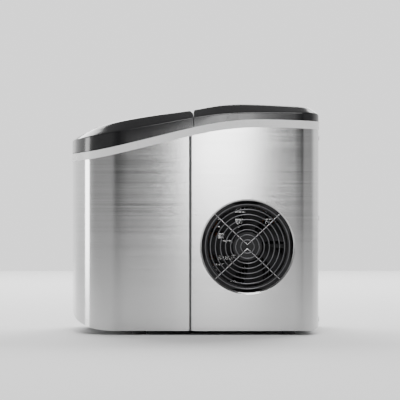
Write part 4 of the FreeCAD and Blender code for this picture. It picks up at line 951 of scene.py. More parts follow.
def wire_rings(name: str, finish: Finish, count: int, inner: float, pitch: float, wire: float,
               centre: Point) -> bpy.types.Object:
    """Concentric wire rings in a plane square to X.

    Args:
        name: piece name.
        finish: surface finish.
        count: number of rings.
        inner: radius of the smallest ring.
        pitch: step from ring to ring.
        wire: wire radius.
        centre: common centre.

    Returns:
        The rings as a plain piece.
    """
    job = Repeat(name + "_layout", finish, (("Count", "NodeSocketInt", count),
                                            ("Inner", "NodeSocketFloat", inner),
                                            ("Pitch", "NodeSocketFloat", pitch),
                                            ("Wire", "NodeSocketFloat", wire),
                                            ("Centre", "NodeSocketVector", centre)))
    sizes = job.source.outputs
    index = job.node("GeometryNodeInputIndex", {}, {}).outputs[0]
    grown = job.node("ShaderNodeMath", {"operation": "MULTIPLY_ADD"}, {0: index, 1: sizes["Pitch"],
                                                                       2: sizes["Inner"]})
    spots = job.node("GeometryNodePoints", {}, {"Count": sizes["Count"], "Position": sizes["Centre"]})
    circle = job.node("GeometryNodeCurvePrimitiveCircle", {}, {"Resolution": 96, "Radius": 1.0})
    size = job.node("ShaderNodeCombineXYZ", {}, {axis: grown.outputs[0] for axis in range(3)})
    rings = job.node("GeometryNodeInstanceOnPoints", {}, {"Points": spots.outputs[0],
                                                          "Instance": circle.outputs[0],
                                                          "Rotation": (0.0, math.pi / 2, 0.0),
                                                          "Scale": size.outputs[0]})
    curves = job.node("GeometryNodeRealizeInstances", {}, {0: rings.outputs[0]})
    section = job.node("GeometryNodeCurvePrimitiveCircle", {}, {"Resolution": 10, "Radius": sizes["Wire"]})
    tubes = job.node("GeometryNodeCurveToMesh", {}, {"Curve": curves.outputs[0],
                                                     "Profile Curve": section.outputs[0]})
    job.close(tubes.outputs[0])
    empty = wrap_mesh(bpy.data.meshes.new(name + "_seed"), name + "_seed", finish)
    return job.apply(empty, name, 60.0)


def placed(piece: bpy.types.Object, body: str, slot: str, *nodes: str) -> bpy.types.Object:
    """Tie a finished piece to its body and hide the model nodes it stands for.

    Args:
        piece: the finished piece.
        body: body that it moves with.
        slot: material slot of the record; not used.
        nodes: model nodes that it stands for.

    Returns:
        The piece.
    """
    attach(piece, body)
    if nodes:
        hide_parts(*nodes)
    LOG.info("%s: %d faces on %s", piece.name, len(piece.data.polygons), body)
    return piece


def half_path(body: Body, inset: float, y_from: float, y_to: float, extra: Sequence[float] = ()
              ) -> list[tuple[float, float, float, float]]:
    """Right-hand outline between two depths, with exact ends and extra stations on the straight side.

    Args:
        body: shared sizes.
        inset: distance inside the outermost outline.
        y_from: front limit, or less than the front for the whole bow.
        y_to: rear limit, or more than the rear for the whole back.
        extra: more stations along the straight side.

    Returns:
        Points with normals, from the front or y_from to the rear or y_to.
    """
    points = body.outline(inset)
    right = points[len(points) // 2:]
    side = body.high[0] - inset
    stops = [y for y in (y_from, y_to, *extra) if body.low[1] + 0.08 < y < body.high[1] - body.rear_radius]
    kept = [p for p in right
            if y_from < p[1] < y_to and min((abs(p[1] - s) for s in stops), default=1) > 0.0004]
    before = [p for p in kept if not (p[0] >= side - 1e-6)]
    front = [p for p in before if p[1] < 0]
    back = [p for p in before if p[1] >= 0]
    straight = [p for p in kept if p[0] >= side - 1e-6]
    straight += [(side, y, 1.0, 0.0) for y in stops if y_from <= y <= y_to]
    return front + sorted(straight, key=lambda p: p[1]) + back


def both_sides(right: Sequence[tuple[float, float, float, float]], rear_end: bool
               ) -> list[tuple[float, float, float, float]]:
    """Join a right-hand path to its mirror image.

    Args:
        right: path from front to rear on the +X side.
        rear_end: True if the path meets its image at the rear, False at the front.

    Returns:
        The whole path.
    """
    left = [(-x, y, -nx, ny) for x, y, nx, ny in reversed(right)]
    if rear_end:
        return list(right) + left[1:]
    return left + list(right)[1:]


# ---------------------------------------------------------------- steel skins

@dataclass
class SteelWraps:
    """Front and rear steel skins, with the rolled fan opening and the pressed louvres."""

    body: Body
    proud: float = 0.001
    skin: float = 0.0008
    seam_y: float = -0.005
    seam_gap: float = 0.0024
    edge_round: float = 0.0006
    toe: tuple[float, float] = (0.060, 0.030)
    heel: tuple[float, float] = (0.014, 0.009)
    bottom: float = 0.006
    vent_setback: float = 0.103
    vent_z: float = 0.125
    vent_radius: float = 0.0645
    lip_round: float = 0.003
    lip_depth: float = 0.005
    louvre_rows: int = 10
    louvre_pitch: float = 0.011
    louvre_height: float = 0.004
    louvre_bulge: float = 0.0009
    side_half: float = 0.045
    back_half: float = 0.060

    def build(self) -> None:
        """Make both skins, the rolled lip and the louvres."""
        seam_front = self.seam_y - self.seam_gap / 2
        seam_rear = self.seam_y + self.seam_gap / 2
        front_end = seam_front - self.edge_round
        rear_end = seam_rear + self.edge_round
        ahead = half_path(self.body, self.proud, -9, front_end, (front_end - self.edge_round,))
        front = both_sides(self._rounded_end(ahead, 1), False)
        placed(self._sheet("front_wrap_skin", front), "cabinet", "steel", "front_wrap")
        rear_right = half_path(self.body, self.proud, rear_end, 9, (rear_end + self.edge_round,))
        rear = both_sides(self._rounded_end(rear_right, -1), True)
        sheet = self._sheet("rear_wrap_skin", rear)
        sheet = carved(sheet, self._cutters(), Finish.STEEL)
        placed(sheet, "cabinet", "steel", "rear_wrap")
        placed(self._lip(), "cabinet", "steel", "rear_wrap")
        for piece in self._louvres():
            placed(piece, "cabinet", "steel", "rear_wrap")

    @property
    def vent_y(self) -> float:
        """Depth of the fan opening's centre."""
        return self.body.high[1] - self.vent_setback

    def _low(self, y: float) -> float:
        """Lower edge of the skins, swept up at the toe and the heel."""
        front = self.body.low[1] + self.proud
        rear = self.body.high[1] - self.proud
        z = self.bottom
        for reach, (run, rise) in ((front + self.toe[0] - y, self.toe), (y - rear + self.heel[0], self.heel)):
            if reach > 0:
                share = min(reach / run, 1.0)
                z += rise * (1 - math.sqrt(1 - share * share))
        return z

    def _rounded_end(self, path: list[tuple[float, float, float, float]], direction: int
                     ) -> list[tuple[float, float, float, float]]:
        """Round a skin's vertical edge inwards at the seam."""
        x, y = (path[-1] if direction > 0 else path[0])[:2]
        r = self.edge_round
        turns = [math.radians(a) for a in (15, 30, 45, 60, 75, 90)]
        arc = [(x - r + r * math.cos(a), y + direction * r * math.sin(a),
                math.cos(a), direction * math.sin(a)) for a in turns]
        return path + arc if direction > 0 else list(reversed(arc)) + path

    def _sheet(self, name: str, path: Sequence[tuple[float, float, float, float]]) -> bpy.types.Object:
        """Upright sheet along a path, from the lower edge to the rim."""
        rim = self.body.curve(self.body.rim_drops)
        shell = Shell(name)
        rings = []
        steps = 14
        for x, y, nx, ny in path:
            low, high = self._low(y), rim.at(y)
            ix, iy = x - nx * self.skin, y - ny * self.skin
            levels = [low + (high - low) * i / steps for i in range(steps + 1)]
            outer = [(x, y, z) for z in levels]
            rings.append(outer + [(ix, iy, z) for z in (high, low)])
        shell.tube(rings)
        return shell.finish(Finish.STEEL)

    def _cutters(self) -> list[bpy.types.Object]:
        """Shapes of the fan hole and the air slots."""
        radius = self.vent_radius + self.lip_round
        hole = Shell("vent_hole")
        hole.lathe(((radius, -0.02), (radius, 0.02)), (self.body.high[0], self.vent_y, self.vent_z),
                   Vector((1, 0, 0)), 128)
        slots = Shell("slots")
        h = self.louvre_height / 2
        for z in self._rows():
            side, back = self.body.low[0], self.body.high[1]
            slots.box((side - 0.01, self.vent_y - self.side_half, z - h),
                      (side + 0.01, self.vent_y + self.side_half, z + h))
            slots.box((-self.back_half, back - 0.01, z - h), (self.back_half, back + 0.01, z + h))
        return [hole.finish(Finish.STEEL), slots.finish(Finish.STEEL)]

    def _rows(self) -> list[float]:
        """Heights of the louvre rows."""
        first = self.vent_z - self.louvre_pitch * (self.louvre_rows - 1) / 2
        return [first + self.louvre_pitch * i for i in range(self.louvre_rows)]

    def _lip(self) -> bpy.types.Object:
        """Rolled edge of the fan opening, turned about its axis."""
        face = self.body.high[0] - self.proud
        r = self.lip_round
        outer = [(self.vent_radius + r - r * math.sin(a), face - r + r * math.cos(a))
                 for a in [math.radians(d) for d in range(0, 91, 9)]]
        outer.append((self.vent_radius, face - self.lip_depth))
        inner = [(self.vent_radius + self.skin, face - self.lip_depth)]
        inner += [(self.vent_radius + r - (r - self.skin) * math.sin(a),
                   face - r + (r - self.skin) * math.cos(a)) for a in [math.radians(d) for d in range(90, -1, -15)]]
        profile = outer + inner
        rings = []
        for i in range(128):
            turn = 2 * math.pi * i / 128
            rings.append([(x, self.vent_y + rad * math.sin(turn), self.vent_z + rad * math.cos(turn))
                          for rad, x in profile])
        shell = Shell("vent_lip")
        shell.loop(rings)
        return shell.finish(Finish.STEEL, 50.0)

    def _louvres(self) -> list[bpy.types.Object]:
        """Pressed hoods over the air slots, one column on the side and one on the back."""
        pieces = []
        first = self._rows()[0]
        side_x = self.body.low[0] + self.proud
        rear_y = self.body.high[1] - self.proud
        spans = (("side_louvres", self.side_half, Vector((-1, 0, 0)), (side_x, self.vent_y, first)),
                 ("back_louvres", self.back_half, Vector((0, 1, 0)), (0.0, rear_y, first)))
        for name, half, out, centre in spans:
            hood = self._hood(name + "_hood", half, out)
            pieces.append(laid_out(hood, name, Finish.STEEL, self.louvre_rows, (0, 0, self.louvre_pitch),
                                   (0, 0, 0), centre))
        return pieces

    def _hood(self, name: str, half: float, out: Vector) -> bpy.types.Object:
        """One louvre hood, open along its lower edge."""
        along = Vector((abs(out.y), abs(out.x), 0))
        h = self.louvre_height / 2
        rings = []
        stations = [-1.0, -0.985, -0.96, -0.92, 0.92, 0.96, 0.985, 1.0]
        for s in stations:
            swell = math.sin(math.radians(90) * min(1.0, (1 - abs(s)) / 0.08)) * self.louvre_bulge
            outer = []
            for i in range(7):
                t = i / 6
                rise = swell * math.sin(t * math.pi / 2)
                outer.append((h + 0.0006 - t * (2 * h + 0.0002), rise))
            inner = [(z, max(rise - 0.0005, -0.0005)) for z, rise in reversed(outer)]
            rings.append([tuple(along * (half * s) + out * rise + Vector((0, 0, z)))
                          for z, rise in outer + inner])
        shell = Shell(name)
        shell.tube(rings)
        return shell.finish(Finish.STEEL)


# ---------------------------------------------------------------- black top

@dataclass
class BlackTop:
    """Glossy lid and rear cover: one crowned surface, parted at the hinge."""

    body: Body
    inset: float = 0.0008
    wall: float = 0.0026
    chamfer: float = 0.016
    edge_round: float = 0.0012
    lid_lift: float = 0.0118
    cover_lift: float = 0.011
    hinge_y: float = -0.008
    nose: float = 0.0074
    gap: float = 0.0006
    rear_drop: float = 0.0105
    hinge_x: float = 0.088
    notch_half: float = 0.0045
    ear: tuple[float, float] = (0.0046, 0.005)
    window: tuple[float, float, float] = (0.075, -0.139, -0.024)
    ledge: float = 0.004
    seat_depth: float = 0.0014
    panel: tuple[float, float, float] = (0.0552, 0.0078, 0.0502)
    insets: tuple[float, ...] = (0.0, 0.0001, 0.0004, 0.0008, 0.0012, 0.005, 0.009, 0.0125, 0.0145, 0.016,
                                 0.0175, 0.020)
    across: int = 15

    def __post_init__(self) -> None:
        """Work out the shared curves and the height of the hinge axis."""
        self.rim = self.body.curve(self.body.rim_drops)
        self.shoulder = self.body.curve(self.body.shoulder_drops)
        self.crown = self.body.curve(self.body.crown_drops)
        self.hinge_z = self.crown.at(self.hinge_y) - self.nose

    def build(self) -> None:
        """Make the lid and the rear cover."""
        placed(self._lid(), "lid", "black_top", "lid_frame")
        placed(self._cover(), "cabinet", "black_top", "rear_housing")

    def _height(self, x: float, y: float, inset: float) -> float:
        """Height of the crowned surface over a point."""
        share = max(0.0, self.body.half_width(y, self.inset) - abs(x)) / self.chamfer
        soft = 0.15
        if share > 1 + soft:
            share = 1.0
        elif share > 1 - soft:
            share -= (share - 1 + soft) ** 2 / (4 * soft)
        side, top = self.shoulder.at(y), self.crown.at(y)
        rear = self.body.high[1] - self.inset
        slope = self.crown.at(rear) - self.rear_drop * (1 - (rear - y) / self.chamfer)
        z = min(side + (top - side) * share, slope)
        if inset < self.edge_round:
            reach = 1 - inset / self.edge_round
            z -= self.edge_round * (1 - math.sqrt(1 - reach * reach))
        return z

    def surface(self, x: float, y: float) -> float:
        """Height of the crowned surface away from its rounded edge."""
        return self._height(x, y, self.chamfer)

    def _flank(self, spot: tuple[float, float, float, float], lift: float, cap: Callable[[float], float]
               ) -> list[Point]:
        """Points from the lower edge up the wall and over the chamfer."""
        x, y, nx, ny = spot
        points = [(x, y, self.rim.at(y) + lift)]
        for inset in self.insets:
            px, py = x - nx * inset, y - ny * inset
            points.append((px, py, min(self._height(px, py, inset), cap(py))))
        return points

    def _rib(self, spot: tuple[float, float, float, float], lift: float, cap: Callable[[float], float]
             ) -> list[Point]:
        """Row of points from the left lower edge over the top to the right one."""
        right = self._flank(spot, lift, cap)
        x, y, _z = right[-1]
        middle = []
        for i in range(1, self.across):
            px = -x + 2 * x * i / self.across
            middle.append((px, y, min(self._height(px, y, 1.0), cap(y))))
        return [(-px, py, pz) for px, py, pz in right] + middle + list(reversed(right))

    def _end_wall(self, rib: Sequence[Point], lift: float) -> list[Point]:
        """Lower edge of the upright wall under a rib."""
        return [(x, y, min(z, self.rim.at(y) + lift)) for x, y, z in rib]

    def _thickened(self, shell: Shell, cutters: list[bpy.types.Object]) -> bpy.types.Object:
        """Give a skin its wall and cut its openings."""
        name = shell.name
        shell.name = name + "_skin"
        piece = shell.finish(Finish.TOP_BLACK)
        wall = piece.modifiers.new("wall", "SOLIDIFY")
        wall.thickness = self.wall
        wall.offset = -1.0
        wall.use_even_offset = False
        return carved(baked(piece, name, Finish.TOP_BLACK), cutters, Finish.TOP_BLACK)

    def _lid(self) -> bpy.types.Object:
        """Hinged lid with its rolled nose, window opening, hinge notches and ears."""
        rear = self.hinge_y + self.nose

        def cap(y: float) -> float:
            """Height limit of the nose."""
            if y <= self.hinge_y:
                return 1.0
            return self.hinge_z + math.sqrt(max(0.0, self.nose ** 2 - (y - self.hinge_y) ** 2))

        stations = [self.hinge_y + self.nose * math.sin(math.radians(a)) for a in range(0, 91, 10)]
        path = half_path(self.body, self.inset, -9, rear + 1e-6, stations)
        ribs = [self._rib(spot, self.lid_lift, cap) for spot in path]
        shell = Shell("lid_shell")
        shell.strip(ribs + [self._end_wall(ribs[-1], self.lid_lift)])
        lid = self._thickened(shell, self._window_cutters() + [self._notches(rear)])
        return joined(lid, self._ears(), Finish.TOP_BLACK)

    def _window_cutters(self) -> list[bpy.types.Object]:
        """Opening of the window and the recess that it sits in."""
        half, front, rear = self.window
        cutters = []
        for label, grow, depth in (("window_hole", 0.0, 0.03), ("window_seat", self.ledge, self.seat_depth)):
            shell = Shell(label)
            rings = []
            count = 24
            for i in range(count + 1):
                y = front - grow + (rear - front + 2 * grow) * i / count
                low, high, w = self.crown.at(y) - depth, self.crown.at(y) + 0.02, half + grow
                rings.append([(-w, y, low), (w, y, low), (w, y, high), (-w, y, high)])
            shell.tube(rings)
            cutters.append(shell.finish(Finish.TOP_BLACK))
        return cutters

    def _notches(self, rear: float) -> bpy.types.Object:
        """Room for the two hinge brackets."""
        shell = Shell("hinge_notches")
        top = self.hinge_z + self.nose * math.sin(math.radians(42))
        for x in (-self.hinge_x, self.hinge_x):
            shell.box((x - self.notch_half, self.hinge_y - 0.011, 0.2),
                      (x + self.notch_half, rear + 0.001, top))
        return shell.finish(Finish.TOP_BLACK)

    def _ears(self) -> bpy.types.Object:
        """Eyes that run on the hinge pins, two at each bracket."""
        radius, width = self.ear
        shell = Shell("lid_ears")
        for x in (-self.hinge_x, self.hinge_x):
            for start in (x - self.notch_half - width, x + self.notch_half):
                rings = []
                for dx, r in ((0.0, radius - 0.0004), (0.0004, radius), (width - 0.0004, radius),
                              (width, radius - 0.0004)):
                    rings.append([(start + dx, self.hinge_y + r * math.cos(a), self.hinge_z + r * math.sin(a))
                                  for a in [2 * math.pi * i / 32 for i in range(32)]])
                shell.tube(rings)
                shell.box((start, self.hinge_y - radius, self.hinge_z), (start + width, self.hinge_y + radius,
                                                                        self.hinge_z + 0.0052))
        return shell.finish(Finish.TOP_BLACK)

    def _cover(self) -> bpy.types.Object:
        """Fixed rear cover with the opening for the control panel."""
        front = self.hinge_y + self.nose + 2 * self.gap
        path = half_path(self.body, self.inset, front - 1e-6, 9)
        corner = self.body.high[0] - self.body.rear_radius
        path = [p for p in path if p[0] >= corner - 1e-6]

        def free(_y: float) -> float:
            """No height limit."""
            return 1.0

        ribs = [self._rib(spot, self.cover_lift, free) for spot in path]
        shell = Shell("cover_shell")
        shell.strip([self._end_wall(ribs[0], self.cover_lift)] + ribs)
        rear = self.body.high[1] - self.inset
        columns = [corner - 2 * corner * i / self.across for i in range(self.across + 1)]
        shell.strip([self._flank((x, rear, 0.0, 1.0), self.cover_lift, free) for x in columns])
        half, y0, y1 = self.panel
        hole = Shell("panel_hole")
        hole.box((-half, y0, 0.29), (half, y1, 0.4))
        return self._thickened(shell, [hole.finish(Finish.TOP_BLACK)])


@dataclass
class LidSealAndSeamShade:
    """Dark seal in the gap behind the lid, and a dark strip in the groove between the steel skins that is painted
    shade.
    """

    body: Body
    lid_gap: tuple[float, float] = (-0.0004, 0.0007)
    lid_drop: float = 0.0022
    lid_side: float = 0.0032
    foot_lift: float = 0.0122
    seam: tuple[float, float] = (-0.0061, -0.0039)
    seam_inset: tuple[float, float] = (0.00105, 0.00175)
    seam_low: float = 0.0072
    seam_drop: float = 0.0006

    def build(self) -> None:
        """Make the lid seal and the painted-shade strips in the side grooves."""
        placed(self._lid_seal(), "cabinet", "rubber")
        placed(self._seam_shade_strips(), "cabinet", "rubber")

    def _lid_seal(self) -> bpy.types.Object:
        """Lip on the cover's front wall that follows its crown."""
        top = BlackTop(self.body)
        rings = []
        for y in self.lid_gap:
            half = self.body.half_width(y, top.inset) - self.lid_side
            count = 40
            edge = []
            for i in range(count + 1):
                x = -half + 2 * half * i / count
                edge.append((x, y, top.surface(x, y) - self.lid_drop))
            low = top.rim.at(0.0) + self.foot_lift
            rings.append(edge + [(half, y, low), (-half, y, low)])
        shell = Shell("lid_seal")
        shell.tube(rings)
        return shell.finish(Finish.RUBBER)

    def _seam_shade_strips(self) -> bpy.types.Object:
        """Dark strip in the upright groove on each side: painted shade that darkens the groove between the steel
        skins.
        """
        rim = self.body.curve(self.body.rim_drops)
        high = rim.at(self.seam[0]) - self.seam_drop
        shell = Shell("seam_shade_strips")
        for side in (-1, 1):
            ends = sorted(side * (self.body.high[0] - inset) for inset in self.seam_inset)
            # Dark strip that stands in for the shade deep in the groove: painted shade.
            shell.box((ends[0], self.seam[0], self.seam_low), (ends[1], self.seam[1], high))
        return shell.finish(Finish.RUBBER)


def joined(first: bpy.types.Object, second: bpy.types.Object, finish: Finish) -> bpy.types.Object:
    """Put two meshes in one piece.

    Args:
        first: piece whose name is kept.
        second: piece that is added to it.
        finish: surface finish.

    Returns:
        The joined piece.
    """
    name = first.name
    shell = Shell(name)
    for piece in (first, second):
        shell.bm.from_mesh(piece.data)
        bpy.data.objects.remove(piece)
    mesh = bpy.data.meshes.new(name)
    shell.bm.to_mesh(mesh)
    shell.bm.free()
    return wrap_mesh(mesh, name, finish)


# ---------------------------------------------------------------- fan

@dataclass
class FanSet:
    """Wire guard and rotor behind the round opening."""

    body: Body
    setback: float = 0.103
    centre_z: float = 0.125
    ring_x: float = 0.11328
    arm_x: float = 0.1120
    rings: int = 8
    ring_inner: float = 0.0095
    ring_pitch: float = 0.0072
    wire: float = 0.0008
    corner: float = 0.0525
    apex: float = 0.003
    eye: float = 0.0029
    blades: int = 7
    cup_radius: float = 0.021
    tip_radius: float = 0.0553
    rotor_low: float = 0.0792
    rotor_high: float = 0.1062
    blade_thick: float = 0.0016

    def build(self) -> None:
        """Make the guard and the rotor."""
        y = self.body.high[1] - self.setback
        centre = (self.ring_x, y, self.centre_z)
        # The rings wear the darker painted-shade copy of the guard wire.
        rings = wire_rings("guard_rings", Finish.RING, self.rings, self.ring_inner, self.ring_pitch, self.wire,
                           centre)
        placed(rings, "cabinet", "chrome_wire", "fan_guard")
        placed(self._arms(y), "cabinet", "chrome_wire", "fan_guard")
        placed(self._cup(y), "fan", "black_plastic", "fan_rotor")
        middle = ((self.rotor_low + self.rotor_high) / 2, y, self.centre_z)
        blades = laid_out(self._blade(), "fan_blades", Finish.FAN_BLACK, self.blades, (0, 0, 0),
                          (2 * math.pi / self.blades, 0, 0), middle)
        placed(blades, "fan", "black_plastic", "fan_rotor")

    def _arms(self, y: float) -> bpy.types.Object:
        """Two bent wires that carry the rings, with an eye at each screw."""
        shell = Shell("guard_arms")
        for side in (-1, 1):
            reach = self.corner - self.eye * math.sqrt(0.5)
            rise = side * (self.corner - self.eye * math.sqrt(0.5))
            beside = self.centre_z + side * (self.apex + 0.0035)
            points = [(y - reach, self.centre_z + rise), (y - 0.004, beside),
                      (y, self.centre_z + side * self.apex), (y + 0.004, beside),
                      (y + reach, self.centre_z + rise)]
            shell.tube(self._wire_rings(points))
            for turn in (-1, 1):
                self._eye_ring(shell, y + turn * self.corner, self.centre_z + side * self.corner)
        return shell.finish(Finish.CHROME, 60.0)

    def _wire_rings(self, points: Sequence[tuple[float, float]]) -> list[list[Point]]:
        """Round sections along a flat path square to X."""
        rings = []
        for i, (y, z) in enumerate(points):
            before, after = points[max(i - 1, 0)], points[min(i + 1, len(points) - 1)]
            along = Vector((0, after[0] - before[0], after[1] - before[1])).normalized()
            beside = along.cross(Vector((1, 0, 0)))
            rings.append([tuple(Vector((self.arm_x, y, z)) + self.wire * (math.cos(a) * beside
                                                                         + math.sin(a) * Vector((1, 0, 0))))
                          for a in [2 * math.pi * k / 12 for k in range(12)]])
        return rings

    def _eye_ring(self, shell: Shell, y: float, z: float) -> None:
        """Closed loop of wire round a screw."""
        rings = []
        for i in range(24):
            a = 2 * math.pi * i / 24
            out = Vector((0, math.cos(a), math.sin(a)))
            rings.append([tuple(Vector((self.arm_x, y, z)) + out * self.eye + self.wire * (
                math.cos(b) * out + math.sin(b) * Vector((1, 0, 0)))) for b in [2 * math.pi * k / 10
                                                                              for k in range(10)]])
        shell.loop(rings)

    def _cup(self, y: float) -> bpy.types.Object:
        """Hub of the rotor with a rounded rim and a shallow dish."""
        depth = self.rotor_high - self.rotor_low
        r = self.cup_radius
        profile = [(0.0, 0.0), (r, 0.0), (r, depth - 0.002), (r - 0.0006, depth - 0.0006), (r - 0.002, depth),
                   (r - 0.004, depth), (r - 0.006, depth - 0.0012), (0.0, depth - 0.0016)]
        shell = Shell("fan_cup")
        shell.lathe(profile, (self.rotor_low, y, self.centre_z), Vector((1, 0, 0)), 64)
        return shell.finish(Finish.FAN_BLACK)

    def _blade(self) -> bpy.types.Object:
        """One twisted blade, modelled about the rotor's axis."""
        rings = []
        steps, chords = 10, 12
        for i in range(steps + 1):
            share = i / steps
            radius = self.cup_radius - 0.001 + (self.tip_radius - self.cup_radius + 0.001) * share
            pitch = math.radians(52 - 20 * share)
            chord = 0.026 + 0.010 * share
            lead = 0.30 * share
            upper, lower = [], []
            for k in range(chords + 1):
                s = k / chords - 0.5
                swell = 0.0022 * (1 - 4 * s * s)
                thick = self.blade_thick / 2 * math.sqrt(max(0.08, 1 - 4 * s * s * 0.9))
                for rows, lift in ((upper, swell + thick), (lower, swell - thick)):
                    tangent = s * chord * math.cos(pitch) + lift * math.sin(pitch)
                    axial = s * chord * math.sin(pitch) - lift * math.cos(pitch)
                    a = lead + tangent / radius
                    rows.append((axial, radius * math.sin(a), radius * math.cos(a)))
            rings.append(upper + list(reversed(lower)))
        shell = Shell("fan_blade")
        shell.tube(rings)
        return shell.finish(Finish.FAN_BLACK, 60.0)


# ---------------------------------------------------------------- button symbols

@dataclass
class ButtonSymbols:
    """Plain ring on each button, with a larger dot in the power ring and a smaller dot in the select ring."""

    normal: Point = (0.0, -0.134888, 0.990861)
    place_y: float = 0.029
    place_x: float = 0.034
    proud: float = 0.0009
    ring: float = 0.0034
    line: float = 0.00035
    relief: float = 0.00012

    def __init__(self, body: Body) -> None:
        """Keep the curve that the panel follows."""
        self.crown = body.curve(body.crown_drops)

    def build(self) -> None:
        """Make both symbols."""
        for side, owner, name, inner in ((1, "power_button", "power_symbol", 0.0014),
                                         (-1, "select_button", "select_symbol", 0.0007)):
            normal = Vector(self.normal)
            base = Vector((side * self.place_x, self.place_y, self.panel_z())) + normal * self.proud
            shell = Shell(name)
            turn = normal.to_track_quat("Z", "Y").to_matrix()
            rings = []
            for i in range(48):
                a = 2 * math.pi * i / 48
                rings.append([tuple(base + turn @ Vector(((self.ring + dr) * math.cos(a),
                                                         (self.ring + dr) * math.sin(a), dz)))
                              for dr, dz in ((-self.line, -self.relief), (-self.line, self.relief),
                                             (self.line, self.relief), (self.line, -self.relief))])
            shell.loop(rings)
            shell.lathe([(0.0, -self.relief), (inner, -self.relief), (inner, self.relief), (0.0, self.relief)],
                        tuple(base), normal, 24)
            placed(shell.finish(Finish.SYMBOL_WHITE), owner, "button")

    def panel_z(self) -> float:
        """Height of the flat panel over the buttons."""
        low, high = 0.008, 0.050
        share = (self.place_y - low) / (high - low)
        return self.crown.at(low) * (1 - share) + self.crown.at(high) * share


# ---------------------------------------------------------------- carried-over nodes

@dataclass
class Dressing:
    """Finishes of the model's own nodes, by material slot of the record."""

    by_slot: dict[str, Finish] = field(default_factory=lambda: {
        "steel": Finish.STEEL, "white_trim": Finish.TRIM_WHITE, "black_top": Finish.TOP_BLACK,
        "panel": Finish.PANEL_BLACK, "button": Finish.BUTTON_GREY, "lens": Finish.LENS,
        "board": Finish.BOARD_GREEN, "smoked_window": Finish.WINDOW, "white_liner": Finish.LINER_WHITE,
        "clear_basket": Finish.BASKET, "foam": Finish.FOAM, "nickel_tube": Finish.NICKEL,
        "black_plastic": Finish.CASE_BLACK, "hose": Finish.HOSE, "zinc_sheet": Finish.ZINC,
        "black_enamel": Finish.ENAMEL, "rubber": Finish.RUBBER, "fin_aluminium": Finish.FINS,
        "chrome_wire": Finish.CHROME, "screw_steel": Finish.SCREW, "copper_tube": Finish.COPPER,
        "brass_valve": Finish.BRASS})
    by_node: dict[str, Finish] = field(default_factory=lambda: {
        "water_tray": Finish.TRAY_WHITE, "fan_frame": Finish.FAN_BLACK, "fan_motor": Finish.FAN_BLACK,
        "fan_shroud": Finish.CASE_BLACK})

    def apply(self) -> None:
        """Give every node of the model its procedural finish."""
        for part in frame["record"]["subparts"]:
            name = part["node"]
            node = bpy.data.objects.get(name)
            if node is None:
                LOG.info("%s stands for another piece", name)
                continue
            finish = self.by_node.get(name, self.by_slot[part["material_slot"]])
            for place in node.material_slots:
                place.material = Paint.of(finish)
            LOG.info("%s wears %s", name, finish.name)


# ---------------------------------------------------------------- studio

@dataclass(frozen=True)
class SoftLight:
    """One rectangular light, aimed at a point."""

    name: str
    place: Point
    target: Point
    size: tuple[float, float]
    watts: float

    def build(self) -> None:
        """Add the light to the scene."""
        data = bpy.data.lights.new(self.name, "AREA")
        data.shape = "RECTANGLE"
        data.size, data.size_y = self.size
        data.energy = self.watts
        lamp = bpy.data.objects.new(self.name, data)
        lamp.location = self.place
        aim = Vector(self.target) - Vector(self.place)
        lamp.rotation_mode = "QUATERNION"
        lamp.rotation_quaternion = aim.to_track_quat("-Z", "Y")
        bpy.context.scene.collection.objects.link(lamp)


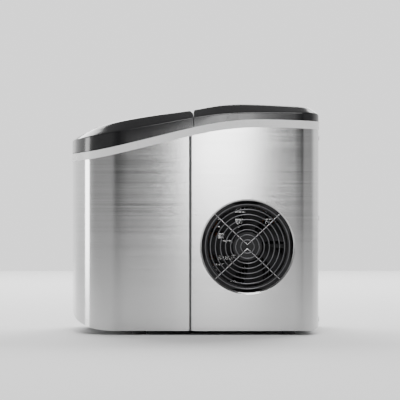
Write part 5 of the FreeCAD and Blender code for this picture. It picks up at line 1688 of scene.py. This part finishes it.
@dataclass
class Studio:
    """Pale floor, soft lights, plain background and the camera."""

    floor_low: tuple[float, float] = (-2.6, -5.0)
    floor_high: tuple[float, float] = (4.5, 5.0)
    distance: float = 3.0
    eye_height: float = 0.191
    eye_y: float = 0.0088
    lens: float = 191.0
    side_fade: tuple[float, float, float, float] = (-0.3, 0.4, 1.5, 0.4)
    band_spread: float = 1.6
    band_fade: tuple[float, float, float, float] = (0.1, 0.6, 1.0, 0.08)
    top_fade: tuple[float, float, float, float] = (0.2, 0.75, 1.0, 0.25)
    lights: tuple[SoftLight, ...] = (
        SoftLight("front_strip", (0.0, -2.2, 0.3), (0.1, -0.14, 0.15), (0.5, 0.8), 11.0),
        SoftLight("side_panel", (3.4, 0.07, 0.72), (0.12, 0.07, 0.24), (0.2, 1.0), 8.0),
        SoftLight("back_left", (-2.0, -0.9, 1.9), (0.0, 0.0, 0.0), (1.8, 1.8), 85.0),
        SoftLight("back_right", (-2.0, 1.2, 1.9), (0.0, 0.0, 0.0), (1.8, 1.8), 85.0),
        SoftLight("upper_side", (1.5, 0.05, 2.1), (0.1, 0.0, 0.2), (0.9, 0.9), 22.0))

    def build(self) -> None:
        """Set up the floor, the lights, the background and the camera."""
        self._floor()
        for light in self.lights:
            light.build()
        self._world()
        self._camera()

    def _floor(self) -> None:
        """Large pale floor under the feet."""
        graph = Graph("studio_floor")
        speckle = graph.noise(30.0, 2.0)
        paint = graph.surface({"Base Color": graph.mix(speckle, grey(0.86), grey(0.88)), "Roughness": 0.8})
        (x0, y0), (x1, y1) = self.floor_low, self.floor_high
        mesh = bpy.data.meshes.new("studio_floor")
        mesh.from_pydata([(x0, y0, 0), (x1, y0, 0), (x1, y1, 0), (x0, y1, 0)], [], [(0, 1, 2, 3)])
        mesh.materials.append(paint)
        floor = bpy.data.objects.new("studio_floor", mesh)
        bpy.context.scene.collection.objects.link(floor)
        floor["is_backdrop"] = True

    def _world(self) -> None:
        """Even pale background."""
        world = bpy.data.worlds.new("studio")
        world.use_nodes = True
        tree = world.node_tree
        shade = tree.nodes["Background"]
        way = tree.nodes.new("ShaderNodeTexCoord")
        split = tree.nodes.new("ShaderNodeSeparateXYZ")
        tree.links.new(way.outputs["Generated"], split.inputs[0])
        aside = self._math(tree, "ABSOLUTE", split.outputs["Y"])
        spread = self._math(tree, "MULTIPLY", aside, self.band_spread)
        band = self._math(tree, "SUBTRACT", split.outputs["X"], spread)
        product: Any = 1.0
        for value, levels in ((split.outputs["X"], self.side_fade), (split.outputs["Z"], self.top_fade),
                              (band, self.band_fade)):
            fade = tree.nodes.new("ShaderNodeMapRange")
            fade.interpolation_type = "SMOOTHSTEP"
            tree.links.new(value, fade.inputs["Value"])
            for key, level in zip(("From Min", "From Max", "To Min", "To Max"), levels):
                fade.inputs[key].default_value = level
            product = self._math(tree, "MULTIPLY", fade.outputs["Result"], product)
        tree.links.new(product, shade.inputs["Strength"])
        shade.inputs["Color"].default_value = grey(1.0)
        bpy.context.scene.world = world

    @staticmethod
    def _math(tree: bpy.types.NodeTree, operation: str, first: Any,
              second: Any = 0.0) -> bpy.types.NodeSocket:
        """Add one arithmetic node to the background."""
        node = tree.nodes.new("ShaderNodeMath")
        node.operation = operation
        for place, value in enumerate((first, second)):
            if isinstance(value, bpy.types.NodeSocket):
                tree.links.new(value, node.inputs[place])
            else:
                node.inputs[place].default_value = value
        return node.outputs[0]

    def _camera(self) -> None:
        """Camera square to the +X side, level with the middle of the machine."""
        data = bpy.data.cameras.new("camera")
        data.lens = self.lens
        camera = bpy.data.objects.new("camera", data)
        side = frame_side()
        camera.location = (side + self.distance, self.eye_y, self.eye_height)
        camera.rotation_euler = (math.pi / 2, 0.0, math.pi / 2)
        bpy.context.scene.collection.objects.link(camera)
        bpy.context.scene.camera = camera


def frame_side() -> float:
    """Largest X of the model."""
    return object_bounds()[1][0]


# ---------------------------------------------------------------- assembly

@dataclass
class IceMaker:
    """The whole machine, built in order."""

    body: Body

    def build(self) -> None:
        """Build each sub-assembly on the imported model."""
        for part in (SteelWraps(self.body), BlackTop(self.body), LidSealAndSeamShade(self.body), FanSet(self.body),
                     ButtonSymbols(self.body)):
            LOG.info("building %s", type(part).__name__)
            part.build()
        Dressing().apply()


def main() -> None:
    """Build the machine to the imported model's size, and its studio."""
    logging.basicConfig(level=logging.INFO, format="%(name)s %(message)s")
    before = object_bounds()
    IceMaker(Body(tuple(before[0]), (before[1][0], before[1][1], 0.327))).build()
    Studio().build()


if __name__ == "__main__":
    main()
